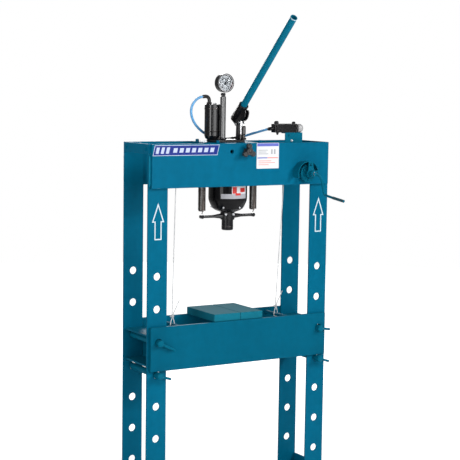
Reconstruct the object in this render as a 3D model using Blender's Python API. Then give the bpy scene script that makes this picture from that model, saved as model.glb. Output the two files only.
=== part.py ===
"""Hydraulic shop press: an H-frame with an inverted jack, a hand and air pump, and a winched bed.

Metres, +Z up, origin on the floor at the middle of the press, front towards -Y.
Heights in the upper half are written as distances from TOP, the top edge of the crosshead.
"""
import math

import bmesh
import bpy
from mathutils import Matrix, Vector

# ---- driving dimensions ----
TOP = 1.750            # top edge of the crosshead above the floor
GAP = 0.0003           # air left between pieces that touch

POST_WIDTH = 0.100
POST_THICK = 0.008
HALF_WIDTH = 0.490     # outer edge of a post from the centre
HALF_DEPTH = 0.122     # outer face of a post from the centre
HOLE_X = 0.440
HOLE_RADIUS = 0.018
HOLE_PITCH = 0.150
FIRST_HOLE = 0.600     # first hole below TOP
HOLE_COUNT = 7

BEAM_THICK = 0.018
BEAM_HALF = 0.480
BEAM_FACE = HALF_DEPTH + BEAM_THICK
CROSSHEAD_HIGH = 0.200
END_TIE_HIGH = 0.045

BED_DROP = 0.830       # top of the bed below TOP
BED_HIGH = 0.2037
BED_TOP = TOP - BED_DROP
BED_BOTTOM = BED_TOP - BED_HIGH
PLATE_THICK = 0.035
PLATE_WIDTHS = {"left": 0.1410, "right": 0.1225}
PLATE_HALF_DEPTH = 0.131

FOOT_HIGH = 0.050
FOOT_HALF_LENGTH = 0.340
FOOT_WALL = 0.006

PIN_RADIUS = 0.0155
PIN_FRONT = -0.165
PIN_BACK = 0.158
PIN_HANDLE = 0.060
LONG_PIN_HANDLE = 0.085
PIN_SETTLE = 0.0020    # a pin lies on the bottom of its looser holes

JACK_RADIUS = 0.0920
RAM_RADIUS = 0.0275
RAM_TIP = 0.417        # below TOP, and the next four too
CROSSBAR_DROP = 0.350
COLLAR_TOP = 0.332
COLLAR_BOTTOM = 0.367
RAM_HEAD = 0.075
SPRING_X = 0.141
SPRING_RADIUS = 0.0185
HANGER_DROP = 0.052
HANGER_THICK = 0.008

LEVER_X = 0.040
LEVER_PIVOT = (-0.019, 0.0830)      # Y and height above TOP
LEVER_MOUTH = (-0.065, 0.171)      # where the lever tube leaves its socket
LEVER_ANGLE = math.radians(43.9)
LEVER_LENGTH = 0.571
LEVER_RADIUS = 0.0162
PLUNGER_Y = -0.048

GAUGE = (-0.040, -0.020, 0.2757)
GAUGE_RADIUS = 0.044
RISER = (-0.040, -0.013)
AIR_PUMP = (-0.070, 0.033)
RELEASE = (0.010, -0.037)          # X and height of the release valve's axis from TOP

WINCH = (0.345, -0.145)            # X and height of the drum shaft from TOP
SHAFT_RADIUS = 0.008
GUARD_RADIUS = 0.058
GUARD_SHIFT = 0.012
DRUM_RADIUS = 0.025
SHEAVE = (-0.312, -0.100, -0.100)  # X, Y and height from TOP
SHEAVE_GROOVE = 0.020
ROPE_RADIUS = 0.00225
LEFT_ROPE_Y = -0.100
RIGHT_ROPE_Y = -0.004
ROPE_ROD_X = 0.300
ROPE_ROD_DROP = 0.848
ROPE_ROD_RADIUS = 0.008

HOSE_RADIUS = 0.006

# ---- colours: base colour, metallic, roughness ----
FINISHES = {
    "teal_paint": ((0.004, 0.130, 0.215), 0.0, 0.38),
    "worn_steel": ((0.100, 0.190, 0.220), 0.3, 0.45),
    "black_paint": ((0.010, 0.010, 0.012), 0.0, 0.25),
    "dark_steel": ((0.045, 0.043, 0.045), 0.8, 0.35),
    "bright_steel": ((0.600, 0.600, 0.620), 1.0, 0.22),
    "galvanised": ((0.500, 0.500, 0.500), 0.9, 0.45),
    "black_plastic": ((0.012, 0.012, 0.014), 0.0, 0.45),
    "grey_plastic": ((0.420, 0.420, 0.400), 0.0, 0.45),
    "white_face": ((0.800, 0.800, 0.820), 0.0, 0.50),
    "blue_hose": ((0.190, 0.420, 0.650), 0.0, 0.30),
}


# ---- tools ----
def clear_scene():
    for item in list(bpy.data.objects):
        bpy.data.objects.remove(item, do_unlink=True)


def finish(name, key):
    """One Principled material for each piece."""
    colour, metallic, roughness = FINISHES[key]
    material = bpy.data.materials.new(name + "_" + key)
    material.use_nodes = True
    shader = material.node_tree.nodes["Principled BSDF"]
    shader.inputs["Base Color"].default_value = (*colour, 1.0)
    shader.inputs["Metallic"].default_value = metallic
    shader.inputs["Roughness"].default_value = roughness
    return material


def add_mesh(name, bm, key):
    """Turn a bmesh into an object with its faces pointing out; no key makes a guide."""
    bmesh.ops.recalc_face_normals(bm, faces=bm.faces)
    mesh = bpy.data.meshes.new(name)
    bm.to_mesh(mesh)
    bm.free()
    piece = bpy.data.objects.new(name, mesh)
    bpy.context.collection.objects.link(piece)
    if key is None:
        piece.hide_render = True
        piece.display_type = "WIRE"
    else:
        mesh.materials.append(finish(name, key))
    return piece


def smooth(piece, angle=math.radians(35)):
    piece.data.shade_smooth()
    piece.data.set_sharp_from_angle(angle=angle)
    return piece


def bevel(piece, width, segments=1):
    modifier = piece.modifiers.new("edges", "BEVEL")
    modifier.width = width
    modifier.segments = segments
    modifier.limit_method = "ANGLE"
    modifier.angle_limit = math.radians(40)
    return piece


def combine(piece, other, operation):
    modifier = piece.modifiers.new(operation.lower(), "BOOLEAN")
    modifier.operation = operation
    modifier.object = other
    return piece


def cut(piece, *cutters):
    for cutter in cutters:
        combine(piece, cutter, "DIFFERENCE")
    return piece


def unite(piece, *others):
    for other in others:
        combine(piece, other, "UNION")
    return piece


def box(name, low, high, key=None):
    bm = bmesh.new()
    bmesh.ops.create_cube(bm, size=1.0)
    for vertex in bm.verts:
        for axis in range(3):
            middle = (low[axis] + high[axis]) / 2
            vertex.co[axis] = middle + vertex.co[axis] * (high[axis] - low[axis])
    return add_mesh(name, bm, key)


def prism(name, outline, axis, start, end, key=None):
    """Extrude an outline along X, Y or Z; its points are the two other coordinates in order."""
    bm = bmesh.new()
    vertices = []
    for first, second in outline:
        point = [first, second]
        point.insert("XYZ".index(axis), start)
        vertices.append(bm.verts.new(point))
    face = bm.faces.new(vertices)
    moved = bmesh.ops.extrude_face_region(bm, geom=[face])["geom"]
    shift = Vector((0, 0, 0))
    shift["XYZ".index(axis)] = end - start
    bmesh.ops.translate(bm, vec=shift, verts=[v for v in moved if isinstance(v, bmesh.types.BMVert)])
    return add_mesh(name, bm, key)


def lathe(name, profile, base, direction, key=None, sides=32, ring=False):
    """Turn (radius, distance) points about a line; a ring's profile closes on itself."""
    turn = Vector(direction).to_track_quat("Z", "Y").to_matrix()
    bm = bmesh.new()
    loops = []
    for radius, along in profile:
        if radius == 0:
            loops.append([bm.verts.new(Vector(base) + turn @ Vector((0, 0, along)))])
            continue
        loop = []
        for step in range(sides):
            angle = math.tau * step / sides
            local = Vector((radius * math.cos(angle), radius * math.sin(angle), along))
            loop.append(bm.verts.new(Vector(base) + turn @ local))
        loops.append(loop)
    pairs = list(zip(loops, loops[1:]))
    if ring:
        pairs.append((loops[-1], loops[0]))
    for lower, upper in pairs:
        for step in range(sides):
            following = (step + 1) % sides
            if len(lower) == 1:
                bm.faces.new((lower[0], upper[step], upper[following]))
            elif len(upper) == 1:
                bm.faces.new((lower[step], lower[following], upper[0]))
            else:
                bm.faces.new((lower[step], lower[following], upper[following], upper[step]))
    return smooth(add_mesh(name, bm, key))


def rod(name, start, end, radius, key=None, sides=24, chamfer=0.0):
    span = Vector(end) - Vector(start)
    length = span.length
    profile = [(0, 0), (radius - chamfer, 0)]
    if chamfer:
        profile += [(radius, chamfer), (radius, length - chamfer)]
    profile += [(radius - chamfer, length), (0, length)]
    return lathe(name, profile, start, span, key, sides)


def smooth_route(points, spacing):
    """Read a Catmull-Rom curve through the points at even steps of about the spacing."""
    guide = [Vector(p) for p in points]
    guide = [2 * guide[0] - guide[1]] + guide + [2 * guide[-1] - guide[-2]]
    fine = []
    steps = 24
    for first, second, third, fourth in zip(guide, guide[1:], guide[2:], guide[3:]):
        for step in range(steps):
            t = step / steps
            fine.append(0.5 * (2 * second + (third - first) * t
                               + (2 * first - 5 * second + 4 * third - fourth) * t ** 2
                               + (3 * second - first - 3 * third + fourth) * t ** 3))
    fine.append(guide[-2])
    return even_steps(fine, spacing)


def even_steps(fine, spacing):
    """Pick points at equal distances along a fine polyline, both ends included."""
    travelled = [0.0]
    for before, after in zip(fine, fine[1:]):
        travelled.append(travelled[-1] + (after - before).length)
    count = max(2, round(travelled[-1] / spacing))
    picked = []
    place = 0
    for step in range(count + 1):
        wanted = travelled[-1] * step / count
        while place < len(fine) - 2 and travelled[place + 1] < wanted:
            place += 1
        stretch = travelled[place + 1] - travelled[place]
        share = (wanted - travelled[place]) / stretch if stretch else 0.0
        picked.append(fine[place].lerp(fine[place + 1], share))
    return picked


def sweep(name, points, radius, key, resolution=2):
    """A round bar or rope along a polyline, as a bevelled curve with filled caps."""
    curve = bpy.data.curves.new(name, "CURVE")
    curve.dimensions = "3D"
    curve.bevel_depth = radius
    curve.bevel_resolution = resolution
    curve.use_fill_caps = True
    spline = curve.splines.new("POLY")
    spline.points.add(len(points) - 1)
    for slot, point in zip(spline.points, points):
        slot.co = (*point, 1.0)
    curve.materials.append(finish(name, key))
    piece = bpy.data.objects.new(name, curve)
    bpy.context.collection.objects.link(piece)
    return piece


def as_mesh(swept):
    """Turn a swept bar into a closed mesh, so that it can be joined to another body."""
    mesh = bpy.data.meshes.new_from_object(swept)
    bm = bmesh.new()
    bm.from_mesh(mesh)
    bmesh.ops.remove_doubles(bm, verts=bm.verts, dist=0.00001)
    name = swept.name
    bpy.data.objects.remove(swept, do_unlink=True)
    return add_mesh(name, bm, None)


def arc(centre, radius, start, end, steps):
    """Points on a circle in a plane, angles in degrees."""
    points = []
    for step in range(steps + 1):
        angle = math.radians(start + (end - start) * step / steps)
        points.append((centre[0] + radius * math.cos(angle), centre[1] + radius * math.sin(angle)))
    return points


def set_origin(piece, point):
    """Move a moving piece's origin onto its joint's axis without moving its mesh."""
    piece.data.transform(Matrix.Translation(-Vector(point)))
    piece.location = point
    return piece


def each_side():
    return (("left", -1), ("right", 1))


def span(first, second):
    return (min(first, second), max(first, second))


def side_box(name, side, x_near, x_far, y_low, y_high, z_low, z_high, key=None):
    """A box given by its distances from the centre plane, on the left or the right."""
    x_low, x_high = span(side * x_near, side * x_far)
    return box(name, (x_low, y_low, z_low), (x_high, y_high, z_high), key)


# ---- frame ----
def hole_cutter(name, x, y_low, y_high, z, radius=HOLE_RADIUS, sides=24):
    return rod(name, (x, y_low, z), (x, y_high, z), radius, sides=sides)


def posts():
    inner = HALF_WIDTH - POST_WIDTH
    for place, depth in (("front", -1), ("rear", 1)):
        y_low, y_high = span(depth * HALF_DEPTH, depth * (HALF_DEPTH - POST_THICK))
        for side, way in each_side():
            name = "post_" + place + "_" + side
            top = TOP - END_TIE_HIGH - GAP
            post = side_box(name, way, inner, HALF_WIDTH, y_low, y_high, FOOT_HIGH + GAP, top, "teal_paint")
            for row in range(HOLE_COUNT):
                height = TOP - FIRST_HOLE - row * HOLE_PITCH
                reach = 0.01
                cut(post, hole_cutter(f"{name}_hole_{row}", way * HOLE_X, y_low - reach, y_high + reach, height))


def crosshead():
    bottom = TOP - CROSSHEAD_HIGH
    for place, depth in (("front", -1), ("rear", 1)):
        y_low, y_high = span(depth * (HALF_DEPTH + GAP), depth * BEAM_FACE)
        name = "crosshead_" + place + "_plate"
        plate = box(name, (-BEAM_HALF, y_low, bottom), (BEAM_HALF, y_high, TOP), "teal_paint")
        bevel(plate, 0.0015)
        holes = [("drum", WINCH[0], WINCH[1], 0.0088)]
        if place == "front":
            holes.append(("release", RELEASE[0], RELEASE[1], 0.0090))
            holes.append(("spare", -0.064, -0.038, 0.0100))
        for label, x, drop, radius in holes:
            cut(plate, hole_cutter(f"{name}_{label}", x, y_low - 0.01, y_high + 0.01, TOP + drop, radius))
    for side, way in each_side():
        tie = side_box("crosshead_end_tie_" + side, way, BEAM_HALF + GAP, HALF_WIDTH,
                       -HALF_DEPTH, HALF_DEPTH, TOP - END_TIE_HIGH, TOP, "teal_paint")
        side_bolts(tie, way, 0.095, TOP - 0.024)


def side_bolts(tie, way, y, z):
    """Two hexagon heads on the outer face of a tie."""
    head = [(0, -0.001), (0.0085, -0.001), (0.0085, 0.0050), (0.0070, 0.0062), (0, 0.0062)]
    for number, depth in enumerate((-y, y)):
        unite(tie, lathe(f"{tie.name}_bolt_{number}", head, (way * HALF_WIDTH, depth, z), (way, 0, 0), None, 6))


def crosshead_inside():
    seat = box("jack_seat_plate", (-0.130, -HALF_DEPTH, TOP - 0.016), (0.130, HALF_DEPTH, TOP - 0.001), "teal_paint")
    bevel(seat, 0.001)
    for side, way in each_side():
        side_box("spring_hanger_" + side, way, SPRING_X - 0.015, SPRING_X + 0.015, -HALF_DEPTH, HALF_DEPTH,
                 TOP - HANGER_DROP - HANGER_THICK, TOP - HANGER_DROP, "teal_paint")


def channel_outline(width, height, wall, centre=0.0, upside=1):
    """A U with its web at the top, or at the bottom when upside is -1."""
    half = width / 2
    outline = [(-half, 0), (-half, height), (half, height), (half, 0),
               (half - wall, 0), (half - wall, height - wall), (-half + wall, height - wall), (-half + wall, 0)]
    if upside < 0:
        outline = [(x, height - z) for x, z in outline]
    return [(x + centre, z) for x, z in outline]


def base():
    centre = HALF_WIDTH - POST_WIDTH / 2
    for side, way in each_side():
        foot = prism("foot_" + side, channel_outline(POST_WIDTH, FOOT_HIGH, FOOT_WALL, way * centre), "Y",
                     -FOOT_HALF_LENGTH, FOOT_HALF_LENGTH, "teal_paint")
        bevel(foot, 0.0015)
        tie = side_box("lower_side_tie_" + side, way, HALF_WIDTH - 0.008, HALF_WIDTH,
                       -HALF_DEPTH + POST_THICK + GAP, HALF_DEPTH - POST_THICK - GAP,
                       FOOT_HIGH + GAP, FOOT_HIGH + 0.110, "teal_paint")
        side_bolts(tie, way, 0.088, FOOT_HIGH + 0.075)
    reach = HALF_WIDTH - POST_WIDTH - GAP
    prism("base_cross_tie", channel_outline(0.080, FOOT_HIGH - 0.005, FOOT_WALL, 0.0, -1), "X",
          -reach, reach, "teal_paint")


# ---- bed ----
def bed():
    for place, depth in (("front", -1), ("rear", 1)):
        y_low, y_high = span(depth * (HALF_DEPTH + GAP), depth * BEAM_FACE)
        name = "bed_" + place + "_beam"
        beam = box(name, (-BEAM_HALF, y_low, BED_BOTTOM), (BEAM_HALF, y_high, BED_TOP), "teal_paint")
        bevel(beam, 0.0015)
        for side, way in each_side():
            height = TOP - FIRST_HOLE - 2 * HOLE_PITCH
            cut(beam, hole_cutter(name + "_hole_" + side, way * HOLE_X, y_low - 0.01, y_high + 0.01, height))
    for side, way in each_side():
        bed_end(side, way)
        rod("rope_rod_" + side, (way * ROPE_ROD_X, -HALF_DEPTH, TOP - ROPE_ROD_DROP),
            (way * ROPE_ROD_X, HALF_DEPTH, TOP - ROPE_ROD_DROP), ROPE_ROD_RADIUS, "teal_paint", 16)


def bed_end(side, way):
    """A channel between the beams; its flanges reach outwards between the posts."""
    wall = 0.008
    web_near = HALF_WIDTH - POST_WIDTH - 0.010
    high = BED_TOP - 0.038
    low = BED_TOP - 0.186
    web = side_box("bed_end_" + side, way, web_near, web_near + wall, -HALF_DEPTH, HALF_DEPTH, low, high, "teal_paint")
    inside = HALF_DEPTH - POST_THICK - 0.0005
    for label, bottom in (("upper", high - wall), ("lower", low)):
        flange = side_box(f"bed_end_{side}_{label}", way, web_near + wall / 2, BEAM_HALF,
                          -inside, inside, bottom, bottom + wall)
        unite(web, flange)


def press_plates():
    for side, way in each_side():
        near = 0.0008
        plate = side_box("press_plate_" + side, way, near, near + PLATE_WIDTHS[side],
                         -PLATE_HALF_DEPTH, PLATE_HALF_DEPTH, BED_TOP + GAP, BED_TOP + PLATE_THICK, "worn_steel")
        bevel(plate, 0.0025, 2)


def bed_pins():
    """Pins through posts and bed, each with a bar welded on its head as a handle."""
    rows = (("upper", 2, (-26, -9)), ("lower", 3, (-18, -17)))
    for level, row, angles in rows:
        height = TOP - FIRST_HOLE - row * HOLE_PITCH - PIN_SETTLE
        for (side, way), degrees in zip(each_side(), angles):
            x = way * HOLE_X
            name = f"pin_{level}_{side}"
            pin = rod(name, (x, PIN_FRONT, height), (x, PIN_BACK, height), PIN_RADIUS, "teal_paint", 24, 0.002)
            turn = math.radians(degrees)
            y = PIN_FRONT + 0.010
            reach = LONG_PIN_HANDLE if name == "pin_upper_left" else PIN_HANDLE
            end = (x + reach * math.cos(turn), y, height + reach * math.sin(turn))
            unite(pin, rod(name + "_handle", (x, y, height), end, 0.0058, sides=12, chamfer=0.002))


# ---- jack ----
def jack():
    bore = RAM_RADIUS + 0.0005
    outer = [(bore, 0.330), (0.038, 0.330), (0.042, 0.3285), (0.060, 0.3215), (0.072, 0.3135), (0.0820, 0.2960),
             (0.0875, 0.2840), (0.0907, 0.2740), (JACK_RADIUS, 0.2640), (JACK_RADIUS, 0.018), (0.086, 0.0163),
             (0, 0.0163)]
    profile = [(0, 0.060), (bore, 0.060)] + outer
    lathe("jack_body", profile, (0, 0, TOP), (0, 0, -1), "black_paint", 40)
    block = box("pump_block", (-0.085, -0.048, TOP - 0.001 + GAP), (0.062, 0.060, TOP + 0.012), "black_paint")
    bevel(block, 0.002)


def ram():
    piston = lathe("ram", [(0, RAM_HEAD), (RAM_RADIUS, RAM_HEAD), (RAM_RADIUS, RAM_TIP - 0.003),
                           (RAM_RADIUS - 0.003, RAM_TIP), (0, RAM_TIP)], (0, 0, TOP), (0, 0, -1), "dark_steel", 40)
    inner = RAM_RADIUS + GAP
    outer = 0.0335
    collar = lathe("spring_crossbar", [(inner, COLLAR_TOP), (outer, COLLAR_TOP), (outer, COLLAR_BOTTOM),
                                       (inner, COLLAR_BOTTOM)], (0, 0, TOP), (0, 0, -1), "black_paint", 40, True)
    for side, way in each_side():
        root = way * (inner + 0.003)
        height = TOP - CROSSBAR_DROP
        reach = SPRING_X - (inner + 0.003)
        arm = [(0, 0), (0.0135, 0), (0.0115, 0.012), (0.0072, 0.045), (0.0068, reach), (0, reach)]
        knob = rod("crossbar_knob_" + side, (way * SPRING_X, -0.009, height), (way * SPRING_X, 0.009, height),
                   0.0092, sides=16)
        arm_piece = lathe("crossbar_arm_" + side, arm, (root, 0, height), (way, 0, 0), None, 16)
        unite(collar, arm_piece, knob)
    return piston


def springs():
    """Plain outlines of the two return springs, from the hangers to the crossbar's ends."""
    top = HANGER_DROP + HANGER_THICK + GAP
    bottom = CROSSBAR_DROP - 0.0092 - 2 * GAP
    hook = 0.0022
    for side, way in each_side():
        profile = [(0, top), (hook, top), (hook, top + 0.014), (SPRING_RADIUS, top + 0.018),
                   (SPRING_RADIUS, bottom - 0.0135), (hook, bottom - 0.0105), (hook, bottom), (0, bottom)]
        lathe("return_spring_" + side, profile, (way * SPRING_X, 0, TOP), (0, 0, -1), "dark_steel", 20)


# ---- air pump, gauge and hose ----
def air_pump():
    x, y = AIR_PUMP
    radius = 0.037
    floor = 0.012 + GAP
    lathe("air_pump_cylinder", [(0, floor), (0.027, floor), (0.033, floor + 0.004), (radius, floor + 0.016),
                                (radius, 0.173), (radius - 0.003, 0.176), (0, 0.176)],
          (x, y, TOP), (0, 0, 1), "black_paint", 36)
    foot = (x - 0.018, y, TOP + 0.176 + GAP)
    bend = [foot, (foot[0], y, TOP + 0.188), (foot[0] - 0.001, y, TOP + 0.199),
            (foot[0] - 0.007, y, TOP + 0.2085), (foot[0] - 0.017, y, TOP + 0.2120), (HOSE[0][0] + 0.002, y, HOSE[0][2])]
    sweep("air_pump_elbow", smooth_route(bend, 0.006), 0.0085, "black_plastic", 2)


HOSE = [(-0.1160, 0.033, TOP + 0.2115), (-0.1380, 0.034, TOP + 0.2075), (-0.1588, 0.036, TOP + 0.1945),
        (-0.1745, 0.040, TOP + 0.1720), (-0.1785, 0.045, TOP + 0.1440), (-0.1700, 0.052, TOP + 0.1150),
        (-0.1500, 0.062, TOP + 0.0870), (-0.1210, 0.074, TOP + 0.0620), (-0.0840, 0.087, TOP + 0.0400),
        (-0.0420, 0.095, TOP + 0.0220), (0.0030, 0.0955, TOP + 0.0115), (0.0450, 0.087, TOP + 0.0090),
        (0.0830, 0.068, TOP + 0.0150), (0.1130, 0.038, TOP + 0.0260), (0.1350, 0.000, TOP + 0.0390),
        (0.1490, -0.038, TOP + 0.0500), (0.1580, -0.0700, TOP + 0.0580), (0.1620, -0.0824, TOP + 0.0610),
        (0.16692, -0.0959, TOP + 0.0635)]


def air_hose():
    sweep("air_hose", smooth_route(HOSE, 0.018), HOSE_RADIUS, "blue_hose", 2)


def gauge():
    x, y, rise = GAUGE
    floor = 0.012 + GAP
    lathe("gauge_riser", [(0, floor), (0.0135, floor), (0.0135, 0.212), (0.0075, 0.216), (0.0075, 0.2305), (0, 0.2305)],
          (RISER[0], RISER[1], TOP), (0, 0, 1), "black_paint", 28)
    back = y + 0.0175
    front = y - 0.0175
    rim = GAUGE_RADIUS
    lathe("gauge_case", [(0, 0), (rim - 0.004, 0), (rim - 0.001, 0.003), (rim - 0.001, 0.026), (rim, 0.027),
                         (rim, 0.035), (rim - 0.003, 0.035), (rim - 0.003, 0.028), (0, 0.028)],
          (x, back, TOP + rise), (0, -1, 0), "black_paint", 36)
    face = back - 0.028
    dial = rod("gauge_dial", (x, face - GAP, TOP + rise), (x, face - GAP - 0.001, TOP + rise), rim - 0.0035,
               "white_face", 36)
    hub = lathe("gauge_needle", [(0, 0), (0.004, 0), (0.004, 0.0024), (0, 0.0024)],
                (x, face - 0.0017, TOP + rise), (0, -1, 0), "black_plastic", 16)
    pointer = prism("needle_pointer", [(-0.0016, -0.010), (0.0016, -0.010), (0.0005, 0.026), (-0.0005, 0.026)], "Y",
                    face - 0.0022, face - 0.0034)
    pointer.data.transform(Matrix.Rotation(math.radians(40), 4, "Y"))
    pointer.location = (x, 0, TOP + rise)
    unite(hub, pointer)
    set_origin(hub, (x, front, TOP + rise))
    return dial


# ---- hand pump ----
def lever_point(back, up):
    """A point in the lever's own plane: back along the lever from the mouth, up square to it."""
    forward = Vector((-math.cos(LEVER_ANGLE), math.sin(LEVER_ANGLE)))
    square = Vector((math.sin(LEVER_ANGLE), math.cos(LEVER_ANGLE)))
    point = Vector(LEVER_MOUTH) - forward * back + square * up
    return (point.x, TOP + point.y)


def hand_pump():
    floor = TOP + 0.012 + GAP
    pivot_y, pivot_rise = LEVER_PIVOT
    outline = [(pivot_y - 0.010, floor), (pivot_y + 0.010, floor), (pivot_y + 0.007, TOP + pivot_rise)]
    outline += arc((pivot_y, TOP + pivot_rise), 0.007, 0, 180, 8)[1:]
    prism("pump_fulcrum", outline, "X", LEVER_X - 0.006, LEVER_X + 0.006, "black_paint")
    lathe("pump_barrel", [(0.0062, floor), (0.010, floor), (0.010, floor + 0.022), (0.0062, floor + 0.022)],
          (LEVER_X, PLUNGER_Y, 0), (0, 0, 1), "dark_steel", 20, True)
    rod("pump_plunger", (LEVER_X, PLUNGER_Y, floor + 0.0115), (LEVER_X, PLUNGER_Y, TOP + 0.099), 0.0058,
        "bright_steel", 20, 0.001)
    lathe("relief_cartridge", [(0, floor), (0.0065, floor), (0.0065, TOP + 0.036), (0.0085, TOP + 0.040),
                               (0.0085, TOP + 0.072), (0.006, TOP + 0.077), (0, TOP + 0.077)],
          (LEVER_X, -0.0725, 0), (0, 0, 1), "dark_steel", 20)


def lever():
    """The socket is a sleeve with two cheeks below it; the tube is pushed into the sleeve."""
    pivot = (LEVER_X, LEVER_PIVOT[0], TOP + LEVER_PIVOT[1])
    forward = (0, -math.cos(LEVER_ANGLE), math.sin(LEVER_ANGLE))
    tail = (LEVER_X, *lever_point(0.098, 0))
    bore = LEVER_RADIUS + GAP
    deep = 0.076
    sleeve = lathe("lever_socket", [(0, 0), (0.020, 0), (0.0225, 0.003), (0.0225, 0.098), (bore, 0.098),
                                    (bore, 0.098 - deep), (0, 0.098 - deep)], tail, forward, "black_paint", 28)
    cheek = [(0.004, 0.020), (0.104, 0.026), (0.112, 0.018), (0.100, -0.030), (0.090, -0.037), (0.078, -0.034),
             (0.062, -0.040), (0.045, -0.054), (0.030, -0.058), (0.015, -0.057), (-0.004, -0.047), (-0.008, -0.038),
             (0.004, -0.020)]
    outline = [lever_point(back, up) for back, up in cheek]
    keep_clear = rod("lever_bore", tail, tuple(Vector(tail) + Vector(forward) * 0.12), LEVER_RADIUS + GAP, sides=28)
    keep_clear.data.transform(Matrix.Translation(Vector(forward) * (0.098 - deep)))
    for side, way in each_side():
        x_low, x_high = span(way * 0.0068, way * 0.0115)
        unite(sleeve, prism("lever_cheek_" + side, outline, "X", LEVER_X + x_low, LEVER_X + x_high))
    cut(sleeve, keep_clear)
    set_origin(sleeve, pivot)
    start = Vector((LEVER_X, *lever_point(deep - GAP, 0)))
    wall = 0.0027
    length = deep - GAP + LEVER_LENGTH
    tube = lathe("lever_tube", [(LEVER_RADIUS - wall, 0), (LEVER_RADIUS, 0), (LEVER_RADIUS, length),
                                (LEVER_RADIUS - wall, length)], start, forward, "teal_paint", 28, True)
    set_origin(tube, pivot)


# ---- valves ----
def release_valve():
    x, drop = RELEASE
    height = TOP + drop
    back = -JACK_RADIUS - GAP
    stem = rod("release_knob", (x, back, height), (x, -0.176, height), 0.007, "black_plastic", 16)
    hub = rod("release_hub", (x, -0.152, height), (x, -0.182, height), 0.017, sides=20, chamfer=0.002)
    unite(stem, hub)
    for lobe in range(3):
        angle = math.radians(90 + 120 * lobe)
        out = Vector((x + 0.024 * math.cos(angle), 0, height + 0.024 * math.sin(angle)))
        ear = rod(f"release_lobe_{lobe}", out + Vector((0, -0.160, 0)), out + Vector((0, -0.179, 0)), 0.0125,
                  sides=20, chamfer=0.003)
        unite(stem, ear)
    set_origin(stem, (x, -0.160, height))


VALVE_Y = -0.104
VALVE_RISE = 0.0665


def air_valve():
    bracket = box("valve_bracket", (0.240, -HALF_DEPTH, TOP - 0.045), (0.3375, -HALF_DEPTH + 0.004, TOP + 0.0465),
                  "teal_paint")
    shelf = box("valve_shelf", (0.240, -HALF_DEPTH + 0.001, TOP + 0.0425), (0.3375, VALVE_Y + 0.016, TOP + 0.0465))
    unite(bracket, shelf)
    half = 0.018
    low = TOP + 0.0465 + GAP
    body = box("valve_body", (0.182, VALVE_Y - half, low), (0.308, VALVE_Y + half, TOP + 0.088), "black_plastic")
    bevel(body, 0.003, 2)
    height = TOP + VALVE_RISE
    elbow = (0.1700, VALVE_Y, height - 0.0015)
    towards = (-0.35, 0.92, -0.17)
    inlet = lathe("valve_inlet", [(0, -0.009), (0.0065, -0.009), (0.0090, -0.0065), (0.0090, 0.0065), (0.0075, 0.0085),
                                  (0, 0.0085)], elbow, towards, None, 16)
    neck = rod("valve_neck", elbow, (0.190, VALVE_Y, height - 0.0015), 0.0085, sides=16)
    plug = rod("valve_plug", (0.200, VALVE_Y, TOP + 0.080), (0.200, VALVE_Y, TOP + 0.101), 0.011, sides=16,
               chamfer=0.004)
    button = rod("valve_button", (0.298, VALVE_Y, TOP + 0.080), (0.298, VALVE_Y, TOP + 0.098), 0.0085, sides=16,
                 chamfer=0.003)
    drain = lathe("valve_drain", [(0, 0), (0.0085, 0), (0.0085, 0.008), (0.0035, 0.0225), (0, 0.0225)],
                  (0.207, VALVE_Y, TOP + 0.058), (0, 0, -1), None, 16)
    unite(body, neck, inlet, plug, button, drain)
    knob = lathe("valve_knob", [(0, 0), (0.011, 0), (0.0115, 0.007), (0.0185, 0.009), (0.0198, 0.013), (0.0198, 0.027),
                                (0.0165, 0.034), (0.009, 0.0375), (0, 0.0385)],
                 (0.308 + GAP, VALVE_Y, height), (1, 0, 0), "grey_plastic", 28)
    set_origin(knob, (0.308, VALVE_Y, height))


# ---- winch ----
def winch():
    """Drum and shaft between the crosshead's plates, disc and crank under a guard in front."""
    x, drop = WINCH
    height = TOP + drop
    wall = -BEAM_FACE - GAP
    front = -0.188
    outer = GUARD_RADIUS
    inner = GUARD_RADIUS - 0.0035
    middle = (x - GUARD_SHIFT, height)
    band = arc(middle, outer, 0, 200, 22) + arc(middle, inner, 200, 0, 22)
    guard = prism("winch_frame", band, "Y", wall, front, "teal_paint")
    boss = rod("winch_boss", (x, front + 0.0005, height), (x, front - 0.005, height), 0.0225, sides=28, chamfer=0.001)
    arm = box("winch_arm", (x + 0.010, front - 0.0045, height - 0.0135),
              (middle[0] + inner + 0.001, front, height + 0.0135))
    brace = prism("winch_brace", [(x - 0.016, height + 0.012), (x + 0.016, height + 0.012),
                                  (x + 0.010, height + 0.0535), (x - 0.014, height + 0.0560)], "Y", front, front - 0.004)
    unite(guard, boss, arm, brace)
    cut(guard, hole_cutter("strap_bore", x, front - 0.02, front + 0.01, height, SHAFT_RADIUS + 0.0006))
    rim = 0.034
    shaft = SHAFT_RADIUS
    drum = [(0, 0), (shaft, 0), (shaft, 0.110), (rim, 0.110), (rim, 0.114), (DRUM_RADIUS, 0.114),
            (DRUM_RADIUS, 0.236), (rim, 0.236), (rim, 0.240), (shaft, 0.240), (shaft, 0.370), (0, 0.370)]
    barrel = lathe("winch_drum", drum, (x, -0.222, height), (0, 1, 0), "galvanised", 28)
    set_origin(barrel, (x, 0, height))
    bore = shaft + GAP
    disc = lathe("winch_disc", [(bore, 0), (0.020, 0), (0.020, 0.008), (0.042, 0.008), (0.042, 0.020), (0.018, 0.020),
                                (0.018, 0.034), (bore, 0.034)], (x, -0.148, height), (0, -1, 0), "dark_steel", 32, True)
    set_origin(disc, (x, 0, height))
    crank(height)


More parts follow.
